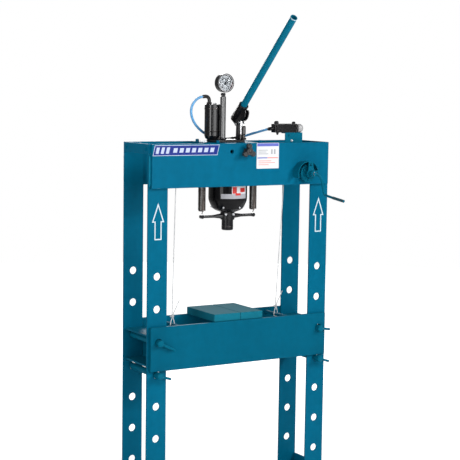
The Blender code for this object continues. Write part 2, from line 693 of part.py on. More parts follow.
def crank(height):
    """A bent bar: hub on the shaft's end, arm down and grip towards the front."""
    x = WINCH[0]
    start = -0.207
    route = [(x + 0.0125, start, height + 0.001), (x + 0.022, start - 0.002, height - 0.004),
             (x + 0.038, start - 0.004, height - 0.016), (x + 0.047, start - 0.006, height - 0.034),
             (x + 0.053, start - 0.007, height - 0.060), (x + 0.058, start - 0.008, height - 0.088),
             (x + 0.0605, start - 0.013, height - 0.0995), (x + 0.0625, start - 0.026, height - 0.104),
             (x + 0.066, start - 0.070, height - 0.111), (x + 0.071, start - 0.110, height - 0.1165),
             (x + 0.0755, start - 0.148, height - 0.122)]
    bar = as_mesh(sweep("crank_bar", smooth_route(route, 0.009), 0.0058, "teal_paint", 2))
    hub = lathe("winch_crank", [(SHAFT_RADIUS + GAP, 0), (0.015, 0), (0.015, 0.020), (SHAFT_RADIUS + GAP, 0.020)],
                (x, -0.1965, height), (0, -1, 0), "teal_paint", 24, True)
    unite(hub, bar)
    set_origin(hub, (x, 0, height))


def sheave():
    x, y, drop = SHEAVE
    groove = SHEAVE_GROOVE
    wheel = lathe("rope_sheave", [(0.0055, -0.006), (groove + 0.006, -0.006), (groove + 0.006, -0.0045),
                                  (groove, -0.0015), (groove, 0.0015), (groove + 0.006, 0.0045),
                                  (groove + 0.006, 0.006), (0.0055, 0.006)],
                  (x, y, TOP + drop), (0, 1, 0), "galvanised", 28, True)
    set_origin(wheel, (x, y, TOP + drop))
    lathe("sheave_axle", [(0, 0), (0.010, 0), (0.010, 0.0145), (0.005, 0.0145), (0.005, 0.0305), (0.0085, 0.0305),
                          (0.0085, 0.035), (0, 0.035)], (x, -HALF_DEPTH, TOP + drop), (0, 1, 0), "galvanised", 20)


# ---- wire ropes ----
def rope_loop(rod_x, y, way):
    """Tail, eye round the bed's rod and both legs through the clamp, from the tail's end up."""
    rod_height = TOP - ROPE_ROD_DROP
    turn = ROPE_ROD_RADIUS + ROPE_RADIUS + 2 * GAP
    beside = ROPE_RADIUS + GAP
    tail = [(rod_x + 0.036, y, rod_height + 0.113), (rod_x + 0.020, y, rod_height + 0.082),
            (rod_x + 0.007, y, rod_height + 0.056), (rod_x + beside, y, rod_height + 0.044),
            (rod_x + beside, y, rod_height + 0.034), (rod_x + 0.0075, y, rod_height + 0.018)]
    around = [(px, y, pz) for px, pz in arc((rod_x, rod_height), turn, 20, -200, 12)]
    legs = [(rod_x - 0.0075, y, rod_height + 0.018), (rod_x - beside, y, rod_height + 0.034),
            (rod_x - beside, y, rod_height + 0.046)]
    return tail + around + legs


def rope_left():
    x, y, drop = SHEAVE
    reach = SHEAVE_GROOVE + ROPE_RADIUS + GAP
    centre = (x, TOP + drop)
    wrap = DRUM_RADIUS + ROPE_RADIUS + GAP
    over = [(px, LEFT_ROPE_Y, pz) for px, pz in arc(centre, reach, 184, 86.6, 9)]
    onto = [(px, LEFT_ROPE_Y, pz) for px, pz in arc((WINCH[0], TOP + WINCH[1]), wrap, 87, -60, 10)]
    middle = [Vector(over[-1]).lerp(Vector(onto[0]), share) for share in (0.02, 0.5, 0.98)]
    climb = rope_loop(-ROPE_ROD_X, -0.014, -1)
    top_of_climb = Vector(climb[-1]).lerp(Vector(over[0]), 0.97)
    points = [Vector(p) for p in climb] + [top_of_climb] + [Vector(p) for p in over] + middle
    points += [Vector(p) for p in onto]
    sweep("wire_rope_left", points, ROPE_RADIUS, "galvanised", 1)


def rope_right():
    wrap = DRUM_RADIUS + ROPE_RADIUS + GAP
    onto = [(px, RIGHT_ROPE_Y, pz) for px, pz in arc((WINCH[0], TOP + WINCH[1]), wrap, 180, 20, 10)]
    climb = rope_loop(ROPE_ROD_X, 0.025, 1)
    top_of_climb = Vector(climb[-1]).lerp(Vector(onto[0]), 0.98)
    points = [Vector(p) for p in climb] + [top_of_climb] + [Vector(p) for p in onto]
    sweep("wire_rope_right", points, ROPE_RADIUS, "galvanised", 1)


def build():
    clear_scene()
    posts()
    crosshead()
    crosshead_inside()
    base()
    bed()
    press_plates()
    bed_pins()
    jack()
    ram()
    springs()
    air_pump()
    air_hose()
    gauge()
    hand_pump()
    lever()
    release_valve()
    air_valve()
    winch()
    sheave()
    rope_left()
    rope_right()


build()
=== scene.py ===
"""Looks for the hydraulic shop press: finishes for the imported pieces, and the small pieces on them.

Metres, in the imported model's frame: +Z up, front towards -Y, TOP is the top of the crosshead.
"""
import math

import bmesh
import bpy
from mathutils import Matrix, Vector, noise


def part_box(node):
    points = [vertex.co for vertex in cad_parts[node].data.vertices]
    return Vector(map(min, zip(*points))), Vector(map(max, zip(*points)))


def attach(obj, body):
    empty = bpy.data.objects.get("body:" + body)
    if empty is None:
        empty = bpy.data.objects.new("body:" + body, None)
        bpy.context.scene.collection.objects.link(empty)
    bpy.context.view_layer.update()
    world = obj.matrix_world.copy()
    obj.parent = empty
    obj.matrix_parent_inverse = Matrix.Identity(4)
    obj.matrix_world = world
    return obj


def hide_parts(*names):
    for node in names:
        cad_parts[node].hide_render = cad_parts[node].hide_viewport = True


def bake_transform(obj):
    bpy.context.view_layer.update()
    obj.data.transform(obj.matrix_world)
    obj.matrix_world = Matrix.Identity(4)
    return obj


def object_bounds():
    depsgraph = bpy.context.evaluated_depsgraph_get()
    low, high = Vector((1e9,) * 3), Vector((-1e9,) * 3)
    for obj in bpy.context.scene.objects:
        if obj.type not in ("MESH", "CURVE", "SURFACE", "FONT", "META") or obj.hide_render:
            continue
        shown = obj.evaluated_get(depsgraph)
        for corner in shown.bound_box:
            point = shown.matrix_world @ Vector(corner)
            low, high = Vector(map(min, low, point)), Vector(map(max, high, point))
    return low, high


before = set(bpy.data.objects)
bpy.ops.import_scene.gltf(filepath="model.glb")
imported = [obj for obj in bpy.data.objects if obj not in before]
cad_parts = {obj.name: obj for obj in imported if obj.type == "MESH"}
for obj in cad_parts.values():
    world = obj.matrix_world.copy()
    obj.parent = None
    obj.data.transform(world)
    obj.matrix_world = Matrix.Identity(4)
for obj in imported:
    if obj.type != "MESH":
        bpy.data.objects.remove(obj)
CAD_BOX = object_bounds()

# ---- places read from the frame ----
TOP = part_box("crosshead_front_plate")[1].z
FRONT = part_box("crosshead_front_plate")[0].y
CROSSHEAD_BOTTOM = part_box("crosshead_front_plate")[0].z
HALF_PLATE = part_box("crosshead_front_plate")[1].x
POST_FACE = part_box("post_front_left")[0].y
BED_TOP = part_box("bed_front_beam")[1].z
BLOCK_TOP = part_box("pump_block")[1].z
JACK_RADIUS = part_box("jack_body")[1].x
SIGN_LEAN = 0.24       # how far the sign's ends lean, per metre of height
LIFT = 0.0003          # a thin piece's distance from the face it lies on
SIDES = (("left", -1), ("right", 1))
UP, DOWN = (0, 0, 1), (0, 0, -1)
TO_FRONT, TO_REAR, TO_RIGHT = (0, -1, 0), (0, 1, 0), (1, 0, 0)

# ---- places and sizes that several pieces share ----
LEVER_SLOPE = math.radians(43.9)  # at rest, above the level
ELBOW_X = -0.088
SPRING_X = 0.141
PIN_X = 0.440
PIN_DROPS = (("upper", 0.902), ("lower", 1.052))
DRUM_RADIUS, SHEAVE_RADIUS = 0.025, 0.020
ROPE_RADIUS, ROD_RADIUS = 0.00225, 0.008
LEFT_EYE, RIGHT_EYE = (-0.300, -0.014), (0.300, 0.025)  # x and y of the ropes' lower ends

# ---- camera ----
CAMERA_PLACE = (-3.3486, -5.5290, TOP + 0.2700)
CAMERA_YAW = math.radians(-31.318)
CAMERA_PITCH = math.radians(-6.076)
CAMERA_ROLL = math.radians(0.801)
CAMERA_LENS = 107.116
SURROUND_LIGHT = 0.25  # what the white surroundings give to all but the camera

# ---- air hose ----
HOSE_RADIUS = 0.006
SLEEVE_FROM, SLEEVE_TO = 52, 81
HOSE_ROUTE = [
    (-0.1160, 0.033, 0.2115), (-0.1380, 0.034, 0.2075), (-0.1588, 0.036, 0.1945), (-0.1745, 0.040, 0.1720),
    (-0.1785, 0.045, 0.1440), (-0.1700, 0.052, 0.1150), (-0.1500, 0.062, 0.0870), (-0.1210, 0.074, 0.0620),
    (-0.0840, 0.087, 0.0400), (-0.0420, 0.095, 0.0220), (0.0030, 0.0955, 0.0115), (0.0450, 0.087, 0.0090),
    (0.0830, 0.068, 0.0150), (0.1130, 0.038, 0.0260), (0.1350, 0.000, 0.0390), (0.1490, -0.038, 0.0500),
    (0.1580, -0.0700, 0.0580), (0.1620, -0.0824, 0.0610), (0.16692, -0.0959, 0.0635),
]

# ---- colours, linear ----
CROSSHEAD_BLUE = (0.0003, 0.103, 0.188)
POST_BLUE = (0.0003, 0.098, 0.176)
BED_BLUE = (0.0003, 0.087, 0.151)
WORN_BLUE = (0.006, 0.150, 0.235)
BARE_STEEL = (0.38, 0.39, 0.40)
BLACK = (0.0035, 0.0035, 0.0045)
WHITE = (0.64, 0.65, 0.67)
LABEL_BLUE = (0.110, 0.130, 0.450)
LABEL_RED = (0.520, 0.035, 0.030)
LABEL_GREY = (0.330, 0.340, 0.360)


# ---- material nodes ----
class Finish:
    """A Principled material whose patterns are read in the row frame."""

    def __init__(self, name, colour, roughness, metallic=0.0, **settings):
        self.material = bpy.data.materials.new(name)
        self.material.use_nodes = True
        self.tree = self.material.node_tree
        self.shader = self.tree.nodes["Principled BSDF"]
        self.place = self.node("ShaderNodeTexCoord").outputs["Object"]
        self.colour = self.node("ShaderNodeRGB").outputs[0]
        self.colour.default_value = (*colour, 1.0)
        self.roughness = roughness
        self.height = None
        self.shader.inputs["Metallic"].default_value = metallic
        for socket, value in settings.items():
            self.shader.inputs[socket.replace("_", " ")].default_value = value

    def feed(self, socket, value):
        """Link another node's output to a socket, or set the socket's own value."""
        if isinstance(value, bpy.types.NodeSocket):
            self.tree.links.new(value, socket)
        else:
            socket.default_value = value

    def node(self, kind, inputs=None, **settings):
        made = self.tree.nodes.new(kind)
        for key, value in settings.items():
            setattr(made, key, value)
        for socket, value in (inputs or {}).items():
            self.feed(made.inputs[socket], value)
        return made

    def math(self, operation, first, second, clamp=False):
        made = self.node("ShaderNodeMath", {0: first, 1: second}, operation=operation, use_clamp=clamp)
        return made.outputs[0]

    def both(self, first, second):
        """A mask that is high where two masks are."""
        return self.math("MULTIPLY", first, second, True)

    def noise(self, scale, detail=3.0, stretch=(1, 1, 1)):
        place = self.node("ShaderNodeMapping", {"Vector": self.place, "Scale": stretch}).outputs[0]
        inputs = {"Vector": place, "Scale": scale, "Detail": detail, "Roughness": 0.55}
        return self.node("ShaderNodeTexNoise", inputs).outputs[0]

    def band(self, value, low, high, from_zero=0.0, to_one=1.0):
        """Map a stretch of values to a mask, clamped at both ends."""
        inputs = {"Value": value, "From Min": low, "From Max": high, "To Min": from_zero, "To Max": to_one}
        return self.node("ShaderNodeMapRange", inputs, clamp=True).outputs[0]

    def rounded(self, radius):
        """A normal that is bent round the edges."""
        return self.node("ShaderNodeBevel", {"Radius": radius}, samples=4).outputs[0]

    def edges(self, radius=0.0016):
        """A mask that is high where the surface turns sharply."""
        flat = self.node("ShaderNodeNewGeometry").outputs["True Normal"]
        dot = self.node("ShaderNodeVectorMath", {0: self.rounded(radius), 1: flat}, operation="DOT_PRODUCT")
        return self.band(dot.outputs["Value"], 0.972, 0.80)

    def facing_up(self, low=0.6, high=0.95):
        normal = self.node("ShaderNodeNewGeometry").outputs["Normal"]
        return self.band(self.node("ShaderNodeSeparateXYZ", {0: normal}).outputs["Z"], low, high)

    def blend(self, mask, colour, strength):
        """Mix a colour in where a mask is high."""
        inputs = {"Factor": self.both(mask, strength), "A": self.colour, "B": (*colour, 1.0)}
        self.colour = self.node("ShaderNodeMix", inputs, data_type="RGBA").outputs["Result"]

    def vary(self, value, low, high):
        """Multiply the colour by a factor between low and high."""
        inputs = {0: self.colour, "Scale": self.band(value, 0.3, 0.7, low, high)}
        self.colour = self.node("ShaderNodeVectorMath", inputs, operation="SCALE").outputs[0]

    def rough(self, value, amount):
        """Add a pattern to the roughness."""
        shifted = self.math("MULTIPLY", self.math("SUBTRACT", value, 0.5), amount)
        self.roughness = self.math("ADD", shifted, self.roughness, True)

    def raise_by(self, value, metres):
        scaled = self.math("MULTIPLY", value, metres)
        self.height = scaled if self.height is None else self.math("ADD", self.height, scaled)

    def done(self, round_edges=0.0):
        inputs = {"Normal": self.rounded(round_edges)} if round_edges else {}
        if self.height is not None:
            inputs.update(Height=self.height, Distance=1.0, Strength=1.0)
            inputs = {"Normal": self.node("ShaderNodeBump", inputs).outputs[0]}
        inputs.update({"Base Color": self.colour, "Roughness": self.roughness})
        for socket, value in inputs.items():
            self.feed(self.shader.inputs[socket], value)
        return self.material


def paint(name, colour, worn, roughness=0.36, wear=0.55, dust=0.22, chips=True):
    """Enamel on steel: faint orange peel, uneven gloss, rubbed edges, dust on top faces."""
    look = Finish(name, colour, roughness, Specular_IOR_Level=0.03)
    broad = look.noise(2.4, 3.0)
    fine = look.noise(420.0, 2.0)
    middle = look.noise(38.0, 4.0)
    look.vary(broad, 0.90, 1.10)
    look.vary(middle, 0.95, 1.05)
    streaks = look.noise(26.0, 3.0, (1.0, 1.0, 0.09))
    look.vary(streaks, 0.965, 1.035)
    look.blend(look.facing_up(), worn, dust)
    rubbed = look.both(look.edges(), look.band(middle, 0.36, 0.66))
    look.blend(rubbed, worn, wear)
    if chips:
        chip = look.both(look.edges(0.0026), look.band(look.noise(95.0, 5.0), 0.63, 0.67))
        look.blend(chip, BARE_STEEL, 0.5)
    scratch = look.band(look.noise(130.0, 2.0, (1.0, 1.0, 0.04)), 0.735, 0.76)
    look.blend(scratch, worn, 0.35)
    look.rough(middle, 0.16)
    look.rough(broad, 0.10)
    look.raise_by(fine, 0.000025)
    look.raise_by(middle, 0.00006)
    return look.done(0.0012)


def gloss_black(name, roughness=0.16, colour=BLACK, shine=0.4):
    look = Finish(name, colour, roughness, Coat_Weight=0.3 * shine, Coat_Roughness=0.08,
                  Specular_IOR_Level=shine)
    grain = look.noise(70.0, 4.0)
    look.vary(look.noise(9.0), 0.7, 1.5)
    look.blend(look.facing_up(0.7, 0.98), (0.03, 0.03, 0.034), 0.45)
    rubbed = look.both(look.edges(0.001), look.band(grain, 0.40, 0.66))
    look.blend(rubbed, (0.08, 0.08, 0.082), 0.6)
    look.rough(grain, 0.10)
    look.raise_by(look.noise(240.0, 2.0), 0.00001)
    look.raise_by(grain, 0.00003)
    return look.done(0.0010)


def moulded(name, colour, roughness=0.42):
    """Moulded plastic with a fine spark-eroded grain."""
    look = Finish(name, colour, roughness)
    grain = look.noise(900.0, 2.0)
    look.vary(look.noise(30.0), 0.86, 1.14)
    look.blend(look.edges(0.0008), tuple(min(1.0, c * 1.6 + 0.02) for c in colour), 0.35)
    look.rough(look.noise(60.0), 0.16)
    look.raise_by(grain, 0.00002)
    return look.done(0.0008)


def steel(name, colour, roughness=0.30, stretch=(1, 1, 1), scale=160.0, stain=0.4):
    """Bare metal with drawn or turned lines along the short side of its stretch."""
    look = Finish(name, colour, roughness, 1.0)
    lines = look.noise(scale, 4.0, stretch)
    blotch = look.noise(22.0, 4.0)
    look.vary(lines, 0.82, 1.15)
    look.blend(look.band(blotch, 0.52, 0.72), (0.10, 0.085, 0.070), stain)
    look.rough(lines, 0.20)
    look.rough(blotch, 0.24)
    look.raise_by(lines, 0.00003)
    return look.done(0.0006)


def printed(name, colour):
    """Vinyl or printed sheet, with faint dirt and an uneven gloss."""
    look = Finish(name, colour, 0.30, Coat_Weight=0.05, Coat_Roughness=0.15, Specular_IOR_Level=0.15)
    dirt = look.noise(60.0, 5.0)
    look.vary(look.noise(14.0), 0.96, 1.03)
    look.blend(look.band(dirt, 0.60, 0.78), (0.30, 0.31, 0.30), 0.25)
    look.rough(dirt, 0.20)
    look.raise_by(look.noise(210.0), 0.00001)
    return look.done()


def worn_top(name):
    """The press plates: enamel rubbed through to dull steel on the working face."""
    look = Finish(name, (0.005, 0.120, 0.175), 0.62, Specular_IOR_Level=0.03)
    grain = look.noise(55.0, 6.0)
    drag = look.noise(90.0, 4.0, (0.12, 1.0, 1.0))
    look.vary(look.noise(5.0), 0.85, 1.15)
    top = look.facing_up(0.7, 0.95)
    look.blend(look.both(top, look.band(grain, 0.25, 0.65)), (0.034, 0.148, 0.180), 0.95)
    look.blend(look.both(top, look.band(drag, 0.60, 0.72)), (0.090, 0.190, 0.212), 0.6)
    look.blend(look.both(look.edges(0.002), look.band(grain, 0.35, 0.6)), (0.090, 0.210, 0.240), 0.7)
    look.rough(grain, 0.25)
    look.raise_by(grain, 0.00008)
    look.raise_by(drag, 0.00004)
    return look.done(0.0018)


def hose_skin(name):
    look = Finish(name, (0.120, 0.370, 0.680), 0.28, Coat_Weight=0.3)
    look.vary(look.noise(40.0), 0.92, 1.08)
    look.rough(look.noise(120.0), 0.16)
    look.raise_by(look.noise(300.0), 0.00003)
    return look.done()


def glass(name):
    look = Finish(name, (0.95, 0.97, 0.98), 0.04, Transmission_Weight=1.0, IOR=1.45)
    look.rough(look.noise(30.0), 0.05)
    return look.done()


MATERIALS = {
    "crosshead": paint("crosshead_enamel", CROSSHEAD_BLUE, WORN_BLUE, 0.38, 0.30, 0.30),
    "post": paint("post_enamel", POST_BLUE, WORN_BLUE, 0.38, 0.35),
    "bed": paint("bed_enamel", BED_BLUE, WORN_BLUE, 0.38, 0.65, 0.30, False),
    "fitting": paint("fitting_enamel", (0.0008, 0.100, 0.165), WORN_BLUE, 0.34, 0.6),
    "weld": paint("weld_enamel", (0.003, 0.160, 0.260), (0.050, 0.260, 0.370), 0.30, 0.9, 0.3, False),
    "lever": paint("lever_enamel", (0.0030, 0.128, 0.210), (0.03, 0.24, 0.34), 0.26, 0.8, 0.25),
    "grip": moulded("grip_rubber", (0.010, 0.055, 0.075), 0.55),
    "black": gloss_black("black_enamel"),
    "cast_black": gloss_black("black_casting", 0.26, (0.005, 0.005, 0.006)),
    "riser_black": gloss_black("riser_enamel", 0.13, (0.045, 0.045, 0.047), 0.8),
    "plastic": moulded("black_plastic", (0.012, 0.012, 0.013)),
    "knob_grey": moulded("grey_plastic", (0.30, 0.30, 0.305)),
    "valve_black": gloss_black("valve_casting", 0.26, (0.006, 0.006, 0.007), 0.22),
    "jack_black": gloss_black("jack_enamel", 0.18, BLACK, 0.16),
    "ram_black": gloss_black("ram_finish", 0.20, BLACK, 0.45),
    "bright": steel("bright_steel", (0.72, 0.72, 0.74), 0.16, (1, 1, 0.05), 260.0, 0.08),
    "turned": steel("turned_steel", (0.070, 0.068, 0.068), 0.26, (0.2, 0.2, 1), 420.0, 0.35),
    "oiled": steel("oiled_steel", (0.060, 0.055, 0.055), 0.28, (1, 1, 1), 180.0, 0.5),
    "bezel": moulded("bezel_grey", (0.38, 0.38, 0.39), 0.35),
    # light grey non-metal: plating on the rope clamps, and painted glints on the jack's screws and the lower
    # valve bracket bolt
    "plated_and_glint": moulded("zinc_and_painted_glint", (0.52, 0.53, 0.55), 0.28),
    "zinc": steel("zinc_steel", (0.56, 0.57, 0.58), 0.34, (1, 1, 1), 140.0, 0.25),
    "rope": moulded("rope_wire", (0.55, 0.56, 0.57), 0.38),
    "spring": steel("spring_steel", (0.120, 0.105, 0.095), 0.36, (1, 1, 1), 130.0, 0.55),
    "plates": worn_top("press_plate_face"),
    "hose": hose_skin("hose_blue"),
    "white": printed("printed_white", WHITE),
    "sign_blue": printed("printed_blue", (0.006, 0.020, 0.185)),
    "label_blue": printed("label_blue", LABEL_BLUE),
    "label_red": printed("label_red", LABEL_RED),
    "label_grey": printed("label_grey", LABEL_GREY),
    "label_pink": printed("label_pink", (0.700, 0.250, 0.230)),
    "sign_white": printed("sign_white", (0.430, 0.490, 0.650)),
    "label_pale": printed("label_pale", (0.34, 0.34, 0.37)),
    "ink": printed("printed_black", (0.015, 0.015, 0.017)),
    "dial_ink": printed("dial_print", (0.36, 0.36, 0.37)),
    "dial": printed("dial_face", (0.56, 0.57, 0.59)),
    "arrow": printed("printed_arrow", (0.52, 0.63, 0.68)),
    "glass": glass("gauge_glass"),
}


def both_sides(*stems):
    """The names of the left and right pieces of each stem."""
    return tuple(f"{stem}_{side}" for stem in stems for side, _ in SIDES)


NODE_FINISH = {
    "crosshead": ("crosshead_front_plate", "crosshead_rear_plate", "jack_seat_plate",
                  *both_sides("crosshead_end_tie", "spring_hanger")),
    "post": ("base_cross_tie", *both_sides("post_front", "post_rear", "foot", "lower_side_tie")),
    "bed": ("bed_front_beam", "bed_rear_beam", *both_sides("bed_end", "rope_rod")),
    "fitting": ("valve_bracket", "winch_frame", "winch_crank", "winch_disc",
                *both_sides("pin_upper", "pin_lower")),
    "lever": ("lever_tube",),
    "black": ("air_pump_cylinder", "gauge_case"),
    "jack_black": ("jack_body",),
    "riser_black": ("gauge_riser",),
    "cast_black": ("pump_block", "pump_fulcrum", "lever_socket", "spring_crossbar"),
    "plastic": ("release_knob", "gauge_needle", "air_pump_elbow"),
    "valve_black": ("valve_body",),
    "knob_grey": ("valve_knob",),
    "bright": ("pump_plunger",),
    "ram_black": ("ram",),
    "turned": ("relief_cartridge", "pump_barrel"),
    "zinc": ("winch_drum", "rope_sheave", "sheave_axle"),
    "plates": both_sides("press_plate"),
    "dial": ("gauge_dial",),
}


# ---- mesh tools ----
def piece(name, bm, key, body="frame", sharp=35):
    bmesh.ops.recalc_face_normals(bm, faces=bm.faces)
    mesh = bpy.data.meshes.new(name)
    bm.to_mesh(mesh)
    bm.free()
    mesh.materials.append(MATERIALS[key])
    mesh.shade_smooth()
    mesh.set_sharp_from_angle(angle=math.radians(sharp))
    made = bpy.data.objects.new(name, mesh)
    bpy.context.collection.objects.link(made)
    if body:
        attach(made, body)
    return made


def aim(direction):
    return Vector(direction).to_track_quat("Z", "Y").to_matrix()


def turned(name, profile, base, direction, key, body="frame", sides=48, ring=False, sharp=35):
    """Turn (radius, distance) points about a line."""
    bm = bmesh.new()
    add_turned(bm, profile, base, direction, sides, ring)
    return piece(name, bm, key, body, sharp)


def add_turned(bm, profile, base, direction, sides=48, ring=False, shape=None):
    """Add a turned form to a mesh; shape gives a factor on the radius for each angle."""
    turn = aim(direction)
    loops = []
    for radius, along in profile:
        if radius == 0:
            loops.append([bm.verts.new(Vector(base) + turn @ Vector((0, 0, along)))])
            continue
        loop = []
        for step in range(sides):
            angle = math.tau * step / sides
            reach = radius * (shape(angle) if shape else 1.0)
            local = Vector((reach * math.cos(angle), reach * math.sin(angle), along))
            loop.append(bm.verts.new(Vector(base) + turn @ local))
        loops.append(loop)
    pairs = list(zip(loops, loops[1:]))
    if ring:
        pairs.append((loops[-1], loops[0]))
    for lower, upper in pairs:
        for step in range(sides):
            following = (step + 1) % sides
            corners = [lower[step % len(lower)], lower[following % len(lower)],
                       upper[following % len(upper)], upper[step % len(upper)]]
            bm.faces.new(list(dict.fromkeys(corners)))


def hexagon(angle):
    """The outline of a nut with slightly soft corners, as a factor on its corner radius."""
    folded = (angle + math.pi / 6) % (math.pi / 3) - math.pi / 6
    return min(1.0, math.cos(math.pi / 6) / math.cos(folded))


def bolt(name, base, direction, size, key="zinc", body="frame", washer=True):
    """A hexagon head with a chamfer and a washer; size is across the corners."""
    bm = bmesh.new()
    start = 0.0
    half = size / 2
    if washer:
        thick = size * 0.09
        profile = [(0, 0), (half * 1.16, 0), (half * 1.22, thick * 0.3), (half * 1.18, thick), (0, thick)]
        add_turned(bm, profile, base, direction, 32)
        start = thick
    tall = start + size * 0.65
    add_turned(bm, [(0, start), (half * 0.97, start), (half, start + 0.1 * size), (half, tall - 0.12 * size)],
               base, direction, 36, False, hexagon)
    add_turned(bm, [(half * 0.86, tall - 0.12 * size), (half * 0.80, tall), (half * 0.55, tall),
                    (half * 0.50, tall - 0.03 * size), (0, tall - 0.03 * size)], base, direction, 36)
    close_open_rings(bm)
    return piece(name, bm, key, body, 28)


def close_open_rings(bm):
    """Bridge the two open rings that a head's chamfer leaves between its flats and its crown."""
    open_edges = [edge for edge in bm.edges if len(edge.link_faces) == 1]
    if open_edges:
        bmesh.ops.bridge_loops(bm, edges=open_edges)


def nut(name, profile, base, key="oiled"):
    """A hexagon nut round a vertical line; the profile's radii reach to its corners."""
    bm = bmesh.new()
    add_turned(bm, profile, base, UP, 36, True, hexagon)
    piece(name, bm, key, sharp=28)


def collar(inner, outer, height, ease, soft=0.001, start=0.0):
    """The profile of a ring; its outer corners are cut by ease across and soft along."""
    end = start + height
    return [(inner, start), (outer - ease, start), (outer, start + soft), (outer, end - soft),
            (outer - ease, end), (inner, end)]


def join_loops(bm, loops):
    """Skin a row of equal loops and close both of its ends."""
    count = len(loops[0])
    for lower, upper in zip(loops, loops[1:]):
        for step in range(count):
            after = (step + 1) % count
            bm.faces.new((lower[step], lower[after], upper[after], upper[step]))
    bm.faces.new(loops[0])
    bm.faces.new(loops[-1])


def rounded_outline(width, height, radius, steps=6):
    points = []
    for sign_x, sign_y, start in ((1, 1, 0), (-1, 1, 90), (-1, -1, 180), (1, -1, 270)):
        centre = (sign_x * (width / 2 - radius), sign_y * (height / 2 - radius))
        for step in range(steps + 1):
            angle = math.radians(start + 90 * step / steps)
            points.append((centre[0] + radius * math.cos(angle), centre[1] + radius * math.sin(angle)))
    return points


def sheet_on_front(name, outline, face_y, thick, key, holes=()):
    """A thin plate lying on a face towards the front; outline points are (x, z)."""
    bm = bmesh.new()
    edges = []
    for loop in (outline, *holes):
        corners = [bm.verts.new((x, face_y, z)) for x, z in loop]
        for first, second in zip(corners, corners[1:] + corners[:1]):
            edges.append(bm.edges.new((first, second)))
    bmesh.ops.triangle_fill(bm, use_beauty=True, use_dissolve=True, edges=edges)
    moved = bmesh.ops.extrude_face_region(bm, geom=list(bm.faces))["geom"]
    bmesh.ops.translate(bm, vec=(0, -thick, 0), verts=[v for v in moved if isinstance(v, bmesh.types.BMVert)])
    piece(name, bm, key)


def shift(outline, x, z):
    return [(px + x, pz + z) for px, pz in outline]


def tube(name, points, section, key, body="frame", twist=0.0, sharp=40):
    """Sweep a section of (across, up) points along a path; twist is in radians per metre."""
    bm = bmesh.new()
    add_tube(bm, [Vector(p) for p in points], section, twist)
    return piece(name, bm, key, body, sharp)


def add_tube(bm, points, section, twist=0.0):
    side = None
    loops = []
    travelled = 0.0
    for index, point in enumerate(points):
        before = points[max(index - 1, 0)]
        after = points[min(index + 1, len(points) - 1)]
        forward = (after - before).normalized()
        if side is None:
            side = forward.orthogonal().normalized()
        side = (side - forward * side.dot(forward)).normalized()
        up = forward.cross(side)
        travelled += (point - before).length
        turn = Matrix.Rotation(twist * travelled, 2)
        spun = [turn @ Vector(corner) for corner in section]
        loops.append([bm.verts.new(point + side * corner.x + up * corner.y) for corner in spun])
    join_loops(bm, loops)


def ring_section(radius, sides=16):
    angles = [math.tau * step / sides for step in range(sides)]
    return [(radius * math.cos(angle), radius * math.sin(angle)) for angle in angles]


def strand_section(radius):
    """The outline of a wire rope: strands round a core."""
    section = []
    strands, per_strand = 6, 4
    for step in range(strands * per_strand):
        angle = math.tau * step / (strands * per_strand)
        dip = 0.10 * (1 - math.cos(angle * strands)) / 2
        reach = radius * (1 - dip * 1.6)
        section.append((reach * math.cos(angle), reach * math.sin(angle)))
    return section


def smooth_route(points, spacing):
    """Read a Catmull-Rom curve through the points at even steps of about the spacing."""
    guide = [Vector(p) for p in points]
    guide = [2 * guide[0] - guide[1]] + guide + [2 * guide[-1] - guide[-2]]
    fine = []
    steps = 24
    for first, second, third, fourth in zip(guide, guide[1:], guide[2:], guide[3:]):
        for step in range(steps):
            t = step / steps
            fine.append(0.5 * (2 * second + (third - first) * t
                               + (2 * first - 5 * second + 4 * third - fourth) * t ** 2
                               + (3 * second - first - 3 * third + fourth) * t ** 3))
    fine.append(guide[-2])
    return even_steps(fine, spacing)


def even_steps(fine, spacing):
    """Pick points at equal distances along a fine polyline, both ends included."""
    travelled = [0.0]
    for before, after in zip(fine, fine[1:]):
        travelled.append(travelled[-1] + (after - before).length)
    count = max(2, round(travelled[-1] / spacing))
    picked = []
    place = 0
    for step in range(count + 1):
        wanted = travelled[-1] * step / count
        while place < len(fine) - 2 and travelled[place + 1] < wanted:
            place += 1
        stretch = travelled[place + 1] - travelled[place]
        share = (wanted - travelled[place]) / stretch if stretch else 0.0
        picked.append(fine[place].lerp(fine[place + 1], share))
    return picked


def arc(x, z, y, radius, start, end, steps):
    """Points of an arc that lies in a plane facing the front."""
    angles = [math.radians(start + (end - start) * step / steps) for step in range(steps + 1)]
    return [Vector((x + radius * math.cos(angle), y, z + radius * math.sin(angle))) for angle in angles]


def polar(degrees, reach=1.0, height=0.0):
    """A point at an angle and a distance round the vertical axis."""
    angle = math.radians(degrees)
    return Vector((reach * math.cos(angle), reach * math.sin(angle), height))


def middle(node):
    low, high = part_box(node)
    return (low + high) / 2


# ---- camera, light and floor ----
def camera():
    data = bpy.data.cameras.new("camera")
    data.lens = CAMERA_LENS
    data.sensor_width = 36.0
    data.clip_end = 60.0
    made = bpy.data.objects.new("camera", data)
    bpy.context.collection.objects.link(made)
    turn = Matrix.Rotation(CAMERA_YAW, 4, "Z") @ Matrix.Rotation(math.pi / 2 + CAMERA_PITCH, 4, "X")
    made.matrix_world = Matrix.Translation(CAMERA_PLACE) @ turn @ Matrix.Rotation(CAMERA_ROLL, 4, "Z")
    bpy.context.scene.camera = made


def area_light(name, place, target, size, power):
    data = bpy.data.lights.new(name, "AREA")
    data.shape = "RECTANGLE"
    data.size, data.size_y = size
    data.energy = power
    made = bpy.data.objects.new(name, data)
    bpy.context.collection.objects.link(made)
    towards = Vector(target) - Vector(place)
    made.matrix_world = Matrix.Translation(place) @ towards.to_track_quat("-Z", "Y").to_matrix().to_4x4()


